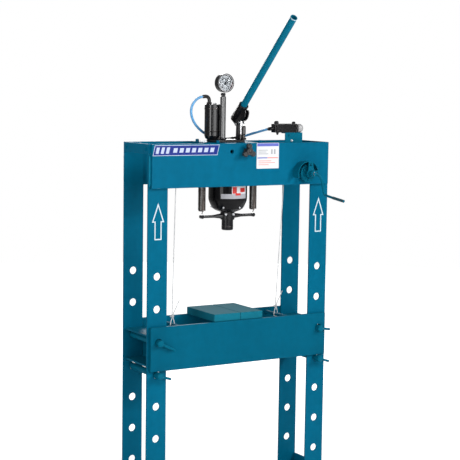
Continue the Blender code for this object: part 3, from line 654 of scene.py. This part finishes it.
def studio():
    world = bpy.data.worlds.new("studio")
    bpy.context.scene.world = world
    world.use_nodes = True
    tree = world.node_tree
    background = tree.nodes["Background"]
    background.inputs["Color"].default_value = (1.0, 1.0, 1.0, 1.0)
    seen = tree.nodes.new("ShaderNodeLightPath").outputs["Is Camera Ray"]
    strength = tree.nodes.new("ShaderNodeMapRange")
    strength.inputs["To Min"].default_value = SURROUND_LIGHT
    strength.inputs["To Max"].default_value = 1.0
    tree.links.new(seen, strength.inputs["Value"])
    tree.links.new(strength.outputs[0], background.inputs["Strength"])
    bpy.context.scene.view_settings.view_transform = "Standard"
    area_light("key", (2.9, -4.0, 4.0), (0.0, 0.0, 1.3), (1.1, 1.1), 170)
    area_light("front", (0.3, -4.4, 2.4), (0.0, 0.0, 1.5), (4.0, 2.2), 120)
    area_light("left", (-3.7, -1.7, 2.3), (0.0, 0.0, 1.3), (1.4, 2.6), 70)
    area_light("rear", (1.6, 3.8, 3.0), (0.0, 0.0, 1.4), (1.6, 1.6), 60)
    floor()


def floor():
    bm = bmesh.new()
    bmesh.ops.create_circle(bm, cap_ends=True, segments=96, radius=9.0)
    mesh = bpy.data.meshes.new("floor")
    bm.to_mesh(mesh)
    bm.free()
    look = Finish("floor_pale", (0.93, 0.93, 0.93), 0.75)
    away = look.node("ShaderNodeVectorMath", {0: look.place}, operation="LENGTH")
    look.shader.inputs["Emission Color"].default_value = (1.0, 1.0, 1.0, 1.0)
    glow = look.band(away.outputs["Value"], 0.9, 4.0, 0.40, 0.95)
    seen = look.node("ShaderNodeLightPath").outputs["Is Camera Ray"]
    look.feed(look.shader.inputs["Emission Strength"], look.math("MULTIPLY", glow, seen))
    look.rough(look.noise(3.0), 0.1)
    mesh.materials.append(look.done())
    made = bpy.data.objects.new("floor", mesh)
    made.location.z = CAD_BOX[0][2] - LIFT
    bpy.context.collection.objects.link(made)


# ---- air hose ----
def air_hose():
    route = smooth_route([(x, y, TOP + z) for x, y, z in HOSE_ROUTE], 0.006)
    curve = bpy.data.curves.new("air_hose_tube", "CURVE")
    curve.dimensions = "3D"
    curve.bevel_depth = HOSE_RADIUS
    curve.bevel_resolution = 6
    curve.use_fill_caps = True
    spline = curve.splines.new("POLY")
    spline.points.add(len(route) - 1)
    for slot, point in zip(spline.points, route):
        slot.co = (*point, 1.0)
    spline.use_smooth = True
    curve.materials.append(MATERIALS["hose"])
    hose = bpy.data.objects.new("air_hose_tube", curve)
    bpy.context.collection.objects.link(hose)
    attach(hose, "frame")
    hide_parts("air_hose")
    covered = route[SLEEVE_FROM:SLEEVE_TO]
    bm = bmesh.new()
    add_tube(bm, covered, ring_section(0.0075, 20))
    piece("hose_guard_sleeve", bm, "plastic")
    for name, at, ahead, size in (("hose_collar_pump", 0, 2, 0.009), ("hose_collar_valve", -1, -4, 0.007)):
        start, towards = route[at], route[ahead] - route[at]
        profile = [(HOSE_RADIUS + 0.0002, 0), (0.0080, 0), (0.0084, 0.001), (0.0084, size - 0.003),
                   (0.0072, size - 0.001), (0.0070, size), (HOSE_RADIUS + 0.0002, size)]
        turned(name, profile, start, towards, "plastic", "frame", 24, True)


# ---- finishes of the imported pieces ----
def finish_nodes():
    for key, nodes in NODE_FINISH.items():
        for node in nodes:
            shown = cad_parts[node]
            shown.data.materials.clear()
            shown.data.materials.append(MATERIALS[key])


# ---- signs and labels ----
def slanted(left, right, low, high):
    """A four-cornered outline whose sides lean to the right."""
    return [(left + SIGN_LEAN * (low - TOP), low), (right + SIGN_LEAN * (low - TOP), low),
            (right + SIGN_LEAN * (high - TOP), high), (left + SIGN_LEAN * (high - TOP), high)]


def sign_plate():
    """A blue plate on the left of the crosshead: a white border and a row of plain white blocks."""
    left, right, low, high = -0.466, -0.131, TOP - 0.053, TOP - 0.005
    edge = 0.0024

    def inset(by):
        return slanted(left + by, right - by, low + by, high - by)

    sheet_on_front("sign_border", inset(0), FRONT - LIFT, 0.0010, "sign_white",
                   holes=[list(reversed(inset(edge)))])
    sheet_on_front("sign_field", inset(edge + 0.0002), FRONT - LIFT, 0.0008, "sign_blue")
    for number in range(10):
        tall = number < 3
        start = left + (0.012 + 0.026 * number if tall else 0.100 + 0.032 * (number - 3))
        wide, margin = (0.015, 0.010) if tall else (0.020, 0.014)
        block = slanted(start, start + wide, low + margin, high - margin)
        sheet_on_front(f"sign_block_{number}", block, FRONT - LIFT - 0.0009, 0.0002, "sign_white")


def data_label():
    """A blank white label with a blue heading, a two-colour band and plain bars."""
    left, right, top, bottom = 0.070, 0.193, TOP - 0.0005, TOP - 0.120
    wide, middle_x = right - left, (left + right) / 2
    thick = 0.0006
    ground = shift(rounded_outline(wide, top - bottom, 0.003), middle_x, (top + bottom) / 2)
    sheet_on_front("label_ground", ground, FRONT - LIFT, thick, "white")
    patches = [("heading", left + 0.002, right - 0.002, top - 0.0155, top - 0.0015, "label_blue"),
               ("block_0", right - 0.044, right - 0.035, TOP - 0.053, TOP - 0.030, "label_grey"),
               ("block_1", right - 0.028, right - 0.019, TOP - 0.053, TOP - 0.030, "label_grey"),
               ("band_left", left + 0.004, middle_x - 0.002, TOP - 0.0725, TOP - 0.0675, "label_blue"),
               ("band_right", middle_x - 0.0015, right - 0.004, TOP - 0.0725, TOP - 0.0675, "label_pink")]
    start = left + 0.010
    for row, share in enumerate((0.50, 0.42, 0.52, 0.70, 0.90, 0.55)):
        upper = row < 3
        z = TOP - 0.034 - 0.0085 * row if upper else TOP - 0.084 - 0.0090 * (row - 3)
        patches.append((f"bar_{row}", start, start + share * (wide - 0.020), z - 0.0016, z + 0.0016,
                        "label_grey" if upper else "label_pink"))
    for name, x_low, x_high, low, high, key in patches:
        outline = rounded_outline(x_high - x_low, high - low, 0.0008, 2)
        sheet_on_front("label_" + name, shift(outline, (x_low + x_high) / 2, (low + high) / 2),
                       FRONT - LIFT - thick - 0.0001, 0.0002, key)


def arrow_outline(tip, base, foot, half, shaft):
    return [(0, tip), (-half, base), (-shaft, base), (-shaft, foot),
            (shaft, foot), (shaft, base), (half, base)]


def arrows():
    """Outlined arrows painted on the front posts, pointing up."""
    line = 0.0052
    tip, base, foot = TOP - 0.265, TOP - 0.353, TOP - 0.433
    half, shaft = 0.031, 0.018
    slope = half / (tip - base)
    inner_half = half - line * (slope + math.sqrt(1 + slope ** 2))
    inner_tip = tip - line * math.sqrt(1 + 1 / slope ** 2)
    outer = arrow_outline(tip, base, foot, half, shaft)
    inner = arrow_outline(inner_tip, base + line, foot + line, inner_half, shaft - line)
    inner.reverse()
    for name, x in (("left", -0.4385), ("right", 0.4385)):
        sheet_on_front("arrow_" + name, shift(outer, x, 0), POST_FACE - LIFT, 0.0003, "arrow",
                       holes=[shift(inner, x, 0)])


def jack_label():
    """A blank label wrapped on the jack's body at the front: pale, with a red patch at its right."""
    for name, start, end, low, high, key, lift in (
            ("ground", -141, -56, -0.2625, -0.240, "label_pale", 0.0003),
            ("top", -109, -56, -0.240, -0.204, "white", 0.0003),
            ("red_left", -107, -94, -0.238, -0.207, "label_red", 0.0005),
            ("red_right", -82, -62, -0.232, -0.212, "label_red", 0.0005),
            ("red_low", -98, -80, -0.247, -0.236, "label_red", 0.0007),
            ("bar", -134, -66, -0.259, -0.253, "label_grey", 0.0005)):
        bm = bmesh.new()
        steps = max(4, round((end - start) / 2))
        inner = JACK_RADIUS + lift
        outer = inner + 0.0002
        loops = []
        for step in range(steps + 1):
            degrees = start + (end - start) * step / steps
            loops.append([bm.verts.new(polar(degrees, reach, TOP + z))
                          for reach, z in ((inner, low), (outer, low), (outer, high), (inner, high))])
        join_loops(bm, loops)
        piece("jack_label_" + name, bm, key)


# ---- welds ----
def weld(name, start, end, width=0.006, out=TO_FRONT):
    """A rippled bead laid along a line; out points away from the parent metal."""
    start, end, out = Vector(start), Vector(end), Vector(out).normalized()
    run = end - start
    across = run.normalized().cross(out)
    bm = bmesh.new()
    rings = max(6, int(run.length / 0.0016))
    loops = []
    for index in range(rings + 1):
        share = index / rings
        centre = start + run * share
        ripple = 0.70 + 0.30 * abs(math.sin(index * math.pi / 3))
        wander = 0.12 * noise.noise(centre * 60)
        taper = min(1.0, 6 * share + 0.25, 6 * (1 - share) + 0.25)
        reach = width / 2 * (ripple + wander) * taper
        loops.append([bm.verts.new(centre + across * reach * math.cos(a) + out * reach * 0.75 * math.sin(a))
                      for a in (math.pi * s / 8 for s in range(9))])
    join_loops(bm, loops)
    piece(name, bm, "weld", sharp=50)


def frame_welds():
    bed_x, bed_z = HALF_PLATE - 0.006, BED_TOP - 0.0345
    for place, way in SIDES:
        for depth, face, out in (("front", FRONT, -1), ("rear", -FRONT, 1)):
            corner = (way * (HALF_PLATE + 0.0040), face * 0.890)
            weld(f"weld_crosshead_{depth}_{place}", (*corner, CROSSHEAD_BOTTOM + 0.006),
                 (*corner, TOP - 0.050), 0.0115, (way * 0.45, out, 0))
            weld(f"weld_bed_{depth}_{place}", (way * bed_x, face * 0.858, bed_z),
                 (way * (bed_x - 0.07), face * 0.858, bed_z), out=(0, -out, 0.8))
        low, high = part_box("foot_" + place)
        edge = high.x if way < 0 else low.x
        y, z = POST_FACE - 0.0003, high.z + 0.0004
        for number, (inset, run) in enumerate(((0.004, 0.038), (0.096, -0.038))):
            x = edge - way * inset
            weld(f"weld_post_{place}_{number}", (x, y, z), (x + way * run, y, z), out=(0, -0.7, 0.7))


# ---- jack and springs ----
def jack_details():
    centre = (0, 0, TOP)
    shoulder = JACK_RADIUS + LIFT
    turned("jack_flange", [(shoulder, 0.0183), (0.100, 0.0183), (0.1015, 0.020), (0.1015, 0.027),
                           (0.0995, 0.029), (shoulder, 0.029)], centre, DOWN, "cast_black", "frame", 64, True)
    for number in range(6):
        at = polar(15 + 60 * number, 0.0952, TOP - 0.0292)
        bolt(f"jack_flange_bolt_{number}", at, DOWN, 0.0095, "oiled")
    turned("jack_base_ring", collar(shoulder, 0.0937, 0.008, 0.0005, 0.002, 0.188), centre, DOWN, "black",
           "frame", 72, True)
    turned("gland_nut", [(0.0285, 0.3305), (0.0330, 0.3305), (0.0340, 0.3312), (0.0340, 0.3317),
                         (0.0285, 0.3317)], centre, DOWN, "oiled", "frame", 60, True)
    # the cone and collar screws are light grey non-metal so that they show as painted glints
    for number in range(6):
        degrees = -135 + 60 * number
        bolt(f"jack_cone_screw_{number}", polar(degrees, 0.0775, TOP - 0.3046), polar(degrees, 0.868, -0.496),
             0.0085, "plated_and_glint", washer=False)
    for number, degrees in enumerate((-131, -72, 49, 108)):
        bolt(f"collar_screw_{number}", polar(degrees, 0.0336, TOP - 0.3405), polar(degrees), 0.0120, "plated_and_glint",
             "ram", washer=False)
    turned("ram_tip_ring", [(0.0277, 0.398), (0.0281, 0.399), (0.0281, 0.4015), (0.0277, 0.4025)],
           centre, DOWN, "oiled", "ram", 48, True)


def spring(side):
    """A close-wound return spring with a hook at each end, stretched by the ram."""
    low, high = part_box("return_spring_" + side)
    x = (low.x + high.x) / 2
    wire = 0.0020
    coil = (high.x - low.x) / 2 - wire - 0.0003
    top, bottom = high.z - 0.022, low.z + 0.016
    turns, per_turn = 54, 20
    steps = turns * per_turn
    points = [(x, 0, high.z - wire - 0.0002), (x + 0.0022, 0, high.z - 0.006),
              (x + 0.004, 0.001, high.z - 0.013)]
    for step in range(steps + 1):
        angle = math.tau * step / per_turn
        reach = coil * min(1.0, 0.35 + step / 24, 0.35 + (steps - step) / 24)
        z = top + (bottom - top) * step / steps
        points.append((x + reach * math.cos(angle), reach * math.sin(angle), z))
    points += [(x + 0.004, 0.001, low.z + 0.010), (x + 0.0022, 0, low.z + 0.006),
               (x, 0, low.z + wire + 0.0002)]
    made = tube("return_spring_coil_" + side, points, ring_section(wire, 8), "spring", None, 0.0, 60)
    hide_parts("return_spring_" + side)
    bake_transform(made)


def springs():
    for side, way in SIDES:
        spring(side)
        x = way * SPRING_X
        bolt("hanger_nut_" + side, (x, 0, TOP - 0.0517), UP, 0.013)
        turned("hanger_boss_" + side, [(0, 0), (0.007, 0), (0.0075, 0.0008), (0.0075, 0.0015), (0, 0.0018)],
               (x, 0, TOP - 0.0603), DOWN, "zinc")


# ---- gauge ----
def gauge():
    low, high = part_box("gauge_case")
    centre = Vector(((low.x + high.x) / 2, low.y, (low.z + high.z) / 2))
    radius = (high.x - low.x) / 2
    dial_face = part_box("gauge_dial")[0].y - 0.0001
    turned("gauge_bezel", [(radius - 0.0062, 0.0), (radius - 0.0042, -0.0006), (radius - 0.0032, 0.0004),
                           (radius - 0.0033, 0.0060), (radius - 0.0062, 0.0056)],
           centre + Vector((0, 0.0002, 0)), TO_REAR, "bezel", "frame", 72, True)
    pane = radius - 0.0064
    turned("gauge_glass_disc", [(0, 0.0012), (pane, 0.0014), (pane, 0.0022), (0, 0.0020)],
           centre, TO_REAR, "glass", "frame", 64)
    bm_black, bm_red = bmesh.new(), bmesh.new()
    ring = radius - 0.0095
    for tick in range(51):
        length, width = (0.0034, 0.0005) if tick % 10 else (0.0062, 0.0011)
        add_tick(bm_black, centre, dial_face, 225 - 270 * tick / 50, ring, length, width)
    for tick in range(12):
        add_tick(bm_red, centre, dial_face, -45 + 4.6 * tick, ring + 0.0026, 0.0022, 0.0024)
    piece("dial_ticks", bm_black, "dial_ink")
    piece("dial_red_zone", bm_red, "label_red")
    for number in range(6):
        dial_number(number, centre, dial_face, ring - 0.0115, 225 - 54 * number)
    turned("needle_hub", [(0, 0), (0.0052, 0), (0.0056, 0.0006), (0.0050, 0.0019), (0, 0.0021)],
           (centre.x, dial_face - 0.0001, centre.z), TO_FRONT, "ink", "needle", 32)


def add_tick(bm, centre, face, degrees, outer, length, width):
    angle = math.radians(degrees)
    ray = Vector((math.cos(angle), 0, math.sin(angle)))
    side = Vector((-ray.z, 0, ray.x)) * width / 2
    loops = []
    for y in (face, face - 0.00012):
        base = Vector((centre.x, y, centre.z))
        loops.append([bm.verts.new(base + ray * reach + turn) for reach, turn in
                      ((outer, side), (outer - length, side), (outer - length, -side), (outer, -side))])
    join_loops(bm, loops)


def dial_number(number, centre, face, reach, degrees):
    """Plain numbers round the dial, in tens."""
    angle = math.radians(degrees)
    data = bpy.data.curves.new(f"dial_number_{number}", "FONT")
    data.body = str(number * 10)
    data.size = 0.0088
    data.extrude = 0.00008
    data.align_x = "CENTER"
    data.align_y = "CENTER"
    data.materials.append(MATERIALS["dial_ink"])
    made = bpy.data.objects.new(f"dial_number_{number}", data)
    bpy.context.collection.objects.link(made)
    place = (centre.x + reach * math.cos(angle), face - 0.0002, centre.z + reach * math.sin(angle))
    made.matrix_world = Matrix.Translation(place) @ Matrix.Rotation(math.pi / 2, 4, "X")
    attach(made, "frame")


def gauge_fittings():
    at = middle("gauge_riser")
    neck = collar(0.0078, 0.0110, 0.0115, 0.0005, start=0.2165)
    nut("gauge_neck_nut", neck, (at.x, at.y, TOP), "cast_black")
    turned("riser_lock_ring", collar(0.0137, 0.0172, 0.008, 0.0007), (at.x, at.y, BLOCK_TOP + LIFT),
           UP, "black", "frame", 40, True)


# ---- air pump ----
def air_pump():
    low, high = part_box("air_pump_cylinder")
    x, y = (low.x + high.x) / 2, (low.y + high.y) / 2
    skin = (high.x - low.x) / 2 + 0.0002
    turned("air_pump_cap_ring", [(skin, 0), (skin + 0.0011, 0), (skin + 0.0013, 0.0008),
                                 (skin + 0.0013, 0.0062), (skin + 0.0008, 0.007), (skin, 0.007)],
           (x, y, high.z - 0.024), UP, "oiled", "frame", 64, True)
    turned("air_pump_lower_ring", [(skin, 0), (skin + 0.0008, 0), (skin + 0.0010, 0.0006),
                                   (skin + 0.0010, 0.0044), (skin, 0.005)],
           (x, y, low.z + 0.034), UP, "oiled", "frame", 64, True)
    for number in range(3):
        at = polar(20 + 120 * number, 0.024, high.z + 0.0002) + Vector((x, y, 0))
        bolt(f"air_pump_cap_screw_{number}", at, UP, 0.0085, washer=False)
    nut("elbow_nut", collar(0.0088, 0.0122, 0.0085, 0.0007), (ELBOW_X, y, high.z + 0.0004))
    for number, place in enumerate(((-0.078, -0.040), (0.054, 0.052), (-0.006, 0.050), (0.055, -0.040))):
        bolt(f"block_bolt_{number}", (*place, BLOCK_TOP + 0.0002), UP, 0.0125, "oiled")
    for number, place in enumerate(((-0.115, -0.095), (0.115, -0.095), (-0.115, 0.095), (0.115, 0.095))):
        bolt(f"seat_bolt_{number}", (*place, TOP - 0.0008), UP, 0.0165, "crosshead")


# ---- hand pump ----
def hand_pump():
    x = middle("pump_fulcrum").x
    pin_end = [(0, 0), (0.0058, 0), (0.0064, 0.0006), (0.0064, 0.0030), (0.0056, 0.0038), (0, 0.0038)]
    for name, y, rise, body in (("fulcrum_pin", -0.019, 0.0830, "lever"),
                                ("plunger_pin", -0.048, 0.0925, "plunger")):
        for side, way in SIDES:
            at = (x + way * 0.0117, y, TOP + rise)
            turned(f"{name}_{side}", pin_end, at, (way, 0, 0), "zinc", body, 28)
    forward = Vector((0, -math.cos(LEVER_SLOPE), math.sin(LEVER_SLOPE)))
    square = Vector((0, math.sin(LEVER_SLOPE), math.cos(LEVER_SLOPE)))
    mouth = Vector((x, -0.065, TOP + 0.171))
    turned("socket_lip", collar(0.0166, 0.0234, 0.0062, 0.0009), mouth + forward * LIFT, forward,
           "cast_black", "lever", 48, True)
    bolt("socket_set_screw", mouth - forward * 0.030 + square * 0.0224, square, 0.0115, "zinc", "lever",
         washer=False)
    relief = middle("relief_cartridge")
    nut("relief_nut", collar(0.0067, 0.0112, 0.010, 0.0007), (relief.x, relief.y, BLOCK_TOP + 0.0004))
    turned("barrel_seal", [(0.0061, 0), (0.0088, 0), (0.0094, 0.0007), (0.0090, 0.0024), (0.0061, 0.0026)],
           (x, -0.048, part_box("pump_barrel")[1].z + 0.0002), UP, "oiled", "frame", 36, True)
    turned("lever_tip_band", [(0.0163, 0), (0.0165, 0.0003), (0.0165, 0.0035), (0.0163, 0.0038)],
           mouth + forward * 0.565, forward, "arrow", "lever", 48, True)


# ---- valves ----
def release_valve():
    x, z = 0.010, TOP - 0.037
    turned("release_cap", [(0, 0), (0.0068, 0), (0.0062, 0.0016), (0.0030, 0.0022), (0, 0.0022)],
           (x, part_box("release_knob")[0].y - 0.0001, z), TO_FRONT, "oiled", "release_knob", 32)
    turned("release_gland", [(0.0077, 0), (0.0125, 0), (0.0130, 0.0006), (0.0130, 0.0034), (0.0122, 0.0042),
                             (0.0077, 0.0042)], (x, FRONT - 0.0002, z), TO_FRONT, "black", "frame", 36, True)


def air_valve():
    low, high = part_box("valve_knob")
    y, z = (low.y + high.y) / 2, (low.z + high.z) / 2
    face = y - 0.0183
    for column, x in enumerate((0.192, 0.298)):
        for row, rise in enumerate((-0.010, 0.012)):
            bolt(f"valve_cap_screw_{column + 2 * row}", (x, face, z + rise), TO_FRONT, 0.0085, "oiled",
                 washer=False)
    for number in range(3):
        outline = shift(rounded_outline(0.0045, 0.0300, 0.002, 4), 0.214 + 0.031 * number, z)
        sheet_on_front(f"valve_rib_{number}", outline, face, 0.0011, "valve_black")
    reach = (high.z - low.z) / 2 - 0.0009
    ridges = 24
    for number in range(ridges):
        angle = math.tau * number / ridges
        base = (low.x + 0.0143, y + reach * math.cos(angle), z + reach * math.sin(angle))
        turned(f"knob_ridge_{number}", collar(0, 0.0011, 0.012, 0.0003, 0.0012), base, TO_RIGHT, "knob_grey",
               "air_knob", 8)
    turned("valve_neck", collar(0.0115, 0.0155, 0.006, 0.0005, 0.0008), (low.x + 0.0012, y, z), TO_RIGHT,
           "plastic", "air_knob", 40, True)
    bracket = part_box("valve_bracket")[0].y - 0.0002
    # the lower bracket bolt is light grey as a painted glint
    bolt("bracket_bolt", (0.276, bracket, TOP + 0.009), TO_FRONT, 0.009, "plated_and_glint")
    bolt("bracket_bolt_upper", (0.262, bracket, TOP + 0.034), TO_FRONT, 0.008, "fitting")


# ---- winch ----
def winch():
    axis = middle("winch_drum")
    x, z = axis.x, axis.z
    end_cap = [(0, 0), (0.0068, 0), (0.0074, 0.0006), (0.0070, 0.0024), (0.0030, 0.0032), (0, 0.0032)]
    shaft_end = (x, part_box("winch_drum")[0].y - 0.0001, z)
    turned("crank_end_cap", end_cap, shaft_end, TO_FRONT, "fitting", "winch", 32)
    for number, at in enumerate(arc(x, z, -0.1682, 0.031, 30, 270, 2)):
        bolt(f"disc_bolt_{number}", at, TO_FRONT, 0.0095, "fitting", "winch", False)
    disc_teeth(x, z)
    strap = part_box("winch_frame")[0].y + 0.0003
    bolt("guard_bolt_0", (x + 0.034, strap, z), TO_FRONT, 0.0115, "fitting")
    bolt("guard_bolt_1", (x - 0.002, strap, z + 0.042), TO_FRONT, 0.0115, "fitting")
    for side, way in SIDES:
        guard_x, y = x - 0.012 + way * 0.0565, FRONT - 0.0006
        weld("weld_guard_" + side, (guard_x, y, z + 0.004), (guard_x - way * 0.010, y, z + 0.030))
    crank_grip(x, z)
    rope_turns(x, z)


def disc_teeth(x, z):
    """Low teeth round the disc's rim."""
    bm = bmesh.new()
    teeth = 20
    for tooth in range(teeth):
        start = math.tau * tooth / teeth
        outline = [(0.0415, start), (0.0452, start + 0.02), (0.0420, start + 0.20), (0.0415, start + 0.20)]
        join_loops(bm, [[bm.verts.new((x + reach * math.cos(angle), y, z + reach * math.sin(angle)))
                         for reach, angle in outline] for y in (-0.1565, -0.1640)])
    piece("disc_teeth", bm, "fitting", "winch")


def crank_grip(x, z):
    """A ribbed grip on the crank's handle."""
    start = Vector((x + 0.066, -0.277, z - 0.111))
    run = Vector((x + 0.0755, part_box("winch_crank")[0].y + 0.001, z - 0.122)) - start
    ribs = 14
    step = run.length / ribs
    profile = [(0.0060, 0.0)]
    for rib in range(ribs):
        profile += [(radius, (rib + share) * step)
                    for radius, share in ((0.0067, 0.15), (0.0070, 0.5), (0.0067, 0.85))]
    profile.append((0.0060, run.length))
    turned("crank_grip", profile, start, run, "grip", "winch", 28, True, 60)


def rope_turns(x, z):
    """The turns of rope lying on the drum, wound at two places."""
    radius = DRUM_RADIUS + 0.0026
    pitch, per_turn = 0.0048, 24
    for name, y, turns in (("rope_turns_front", -0.106, 5), ("rope_turns_middle", -0.024, 8)):
        points = []
        for step in range(turns * per_turn + 1):
            angle = math.tau * step / per_turn
            at = (x + radius * math.cos(angle), y + pitch * step / per_turn, z + radius * math.sin(angle))
            points.append(at)
        tube(name, points, ring_section(0.00215, 10), "rope", "winch", 0.0, 60)


# ---- ropes ----
def rope_loop(eye, rod_z):
    """Tail, eye round the rod and the leg that climbs, in the order the rope runs."""
    x, y = eye
    beside, flare = ROPE_RADIUS + 0.0003, 0.0075
    tail = [Vector((x + across, y, rod_z + rise)) for across, rise in (
        (0.036, 0.113), (0.020, 0.082), (0.007, 0.056), (beside, 0.044), (beside, 0.034), (flare, 0.018))]
    turn = arc(x, rod_z, y, ROD_RADIUS + ROPE_RADIUS + 0.0006, 20, -200, 12)
    leg = [Vector((x - across, y, rod_z + rise)) for across, rise in (
        (flare, 0.018), (beside, 0.034), (beside, 0.046))]
    return tail + turn + leg


def between(first, last, shares):
    return [first.lerp(last, share) for share in shares]


def rope(name, points, node):
    made = tube(name, smooth_route(points, 0.0045), strand_section(0.00235), "rope", "frame", 220.0, 70)
    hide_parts(node)


def ropes():
    rod_z = middle("rope_rod_left").z
    drum, wheel = middle("winch_drum"), middle("rope_sheave")
    wrap, reach = DRUM_RADIUS + ROPE_RADIUS + 0.0003, SHEAVE_RADIUS + ROPE_RADIUS + 0.0003
    over = arc(wheel.x, wheel.z, -0.100, reach, 184, 86.6, 9)
    onto = arc(drum.x, drum.z, -0.100, wrap, 87, -60, 10)
    climb = rope_loop(LEFT_EYE, rod_z)
    rise = between(climb[-1], over[0], (0.03, 0.3, 0.6, 0.97))
    across = between(over[-1], onto[0], (0.02, 0.25, 0.5, 0.75, 0.98))
    rope("rope_left_strands", climb + rise + over + across + onto, "wire_rope_left")
    onto = arc(drum.x, drum.z, -0.004, wrap, 180, 20, 10)
    climb = rope_loop(RIGHT_EYE, rod_z)
    rise = between(climb[-1], onto[0], (0.03, 0.3, 0.6, 0.98))
    rope("rope_right_strands", climb + rise + onto, "wire_rope_right")
    for name, eye in (("left", LEFT_EYE), ("right", RIGHT_EYE)):
        rope_clamp(name, Vector((*eye, rod_z + 0.039)))


def rope_clamp(name, at):
    """A saddle behind the two legs, a U-bolt round them and its two nuts."""
    outline = shift(rounded_outline(0.0190, 0.0084, 0.002, 3), at.x, at.z)
    sheet_on_front("clamp_saddle_" + name, outline, at.y + 0.0068, 0.0040, "plated_and_glint")
    half = 0.0066
    front = at.y - 0.001
    bend = [(at.x - half, at.y + 0.0105, at.z), (at.x - half, front, at.z)]
    bend += [(at.x + half * math.cos(a), front - 0.0034 * math.sin(a), at.z)
             for a in (math.pi * (1 - s / 10) for s in range(1, 10))]
    bend += [(at.x + half, front, at.z), (at.x + half, at.y + 0.0105, at.z)]
    tube("clamp_bow_" + name, bend, ring_section(0.0011, 10), "plated_and_glint")
    for number, across in enumerate((-half, half)):
        bolt(f"clamp_nut_{name}_{number}", (at.x + across, at.y + 0.0069, at.z), TO_REAR, 0.0052, "plated_and_glint",
             washer=False)


# ---- pins, bolts and feet ----
def small_metal():
    pin_collar = [(0.0157, 0), (0.0172, 0.0004), (0.0172, 0.0036), (0.0157, 0.004)]
    pin_face = [(0, 0), (0.0118, 0), (0.0112, 0.0006), (0, 0.0007)]
    for side, way in SIDES:
        low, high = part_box("foot_" + side)
        for number, y in enumerate((-0.300, 0.300)):
            bolt(f"foot_bolt_{side}_{number}", ((low.x + high.x) / 2, y, high.z + 0.0002), UP, 0.022)
        for level, drop in PIN_DROPS:
            pin = f"pin_{level}_{side}"
            low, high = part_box(pin)
            x, z = way * PIN_X, TOP - drop
            turned(f"pin_collar_{level}_{side}", pin_collar, (x, high.y - 0.010, z), TO_FRONT, "zinc", pin,
                   36, True)
            turned(f"pin_head_face_{level}_{side}", pin_face, (x, low.y - 0.0001, z), TO_FRONT, "fitting",
                   pin, 36)
    turned("sheave_cap", [(0, 0), (0.0060, 0), (0.0064, 0.0006), (0.0058, 0.0018), (0, 0.0020)],
           (-0.312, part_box("sheave_axle")[1].y + 0.0001, TOP - 0.100), TO_REAR, "zinc", "frame", 28)


def build():
    camera()
    air_hose()
    studio()
    finish_nodes()
    sign_plate()
    data_label()
    arrows()
    jack_label()
    frame_welds()
    jack_details()
    springs()
    gauge()
    gauge_fittings()
    air_pump()
    hand_pump()
    release_valve()
    air_valve()
    winch()
    ropes()
    small_metal()


build()
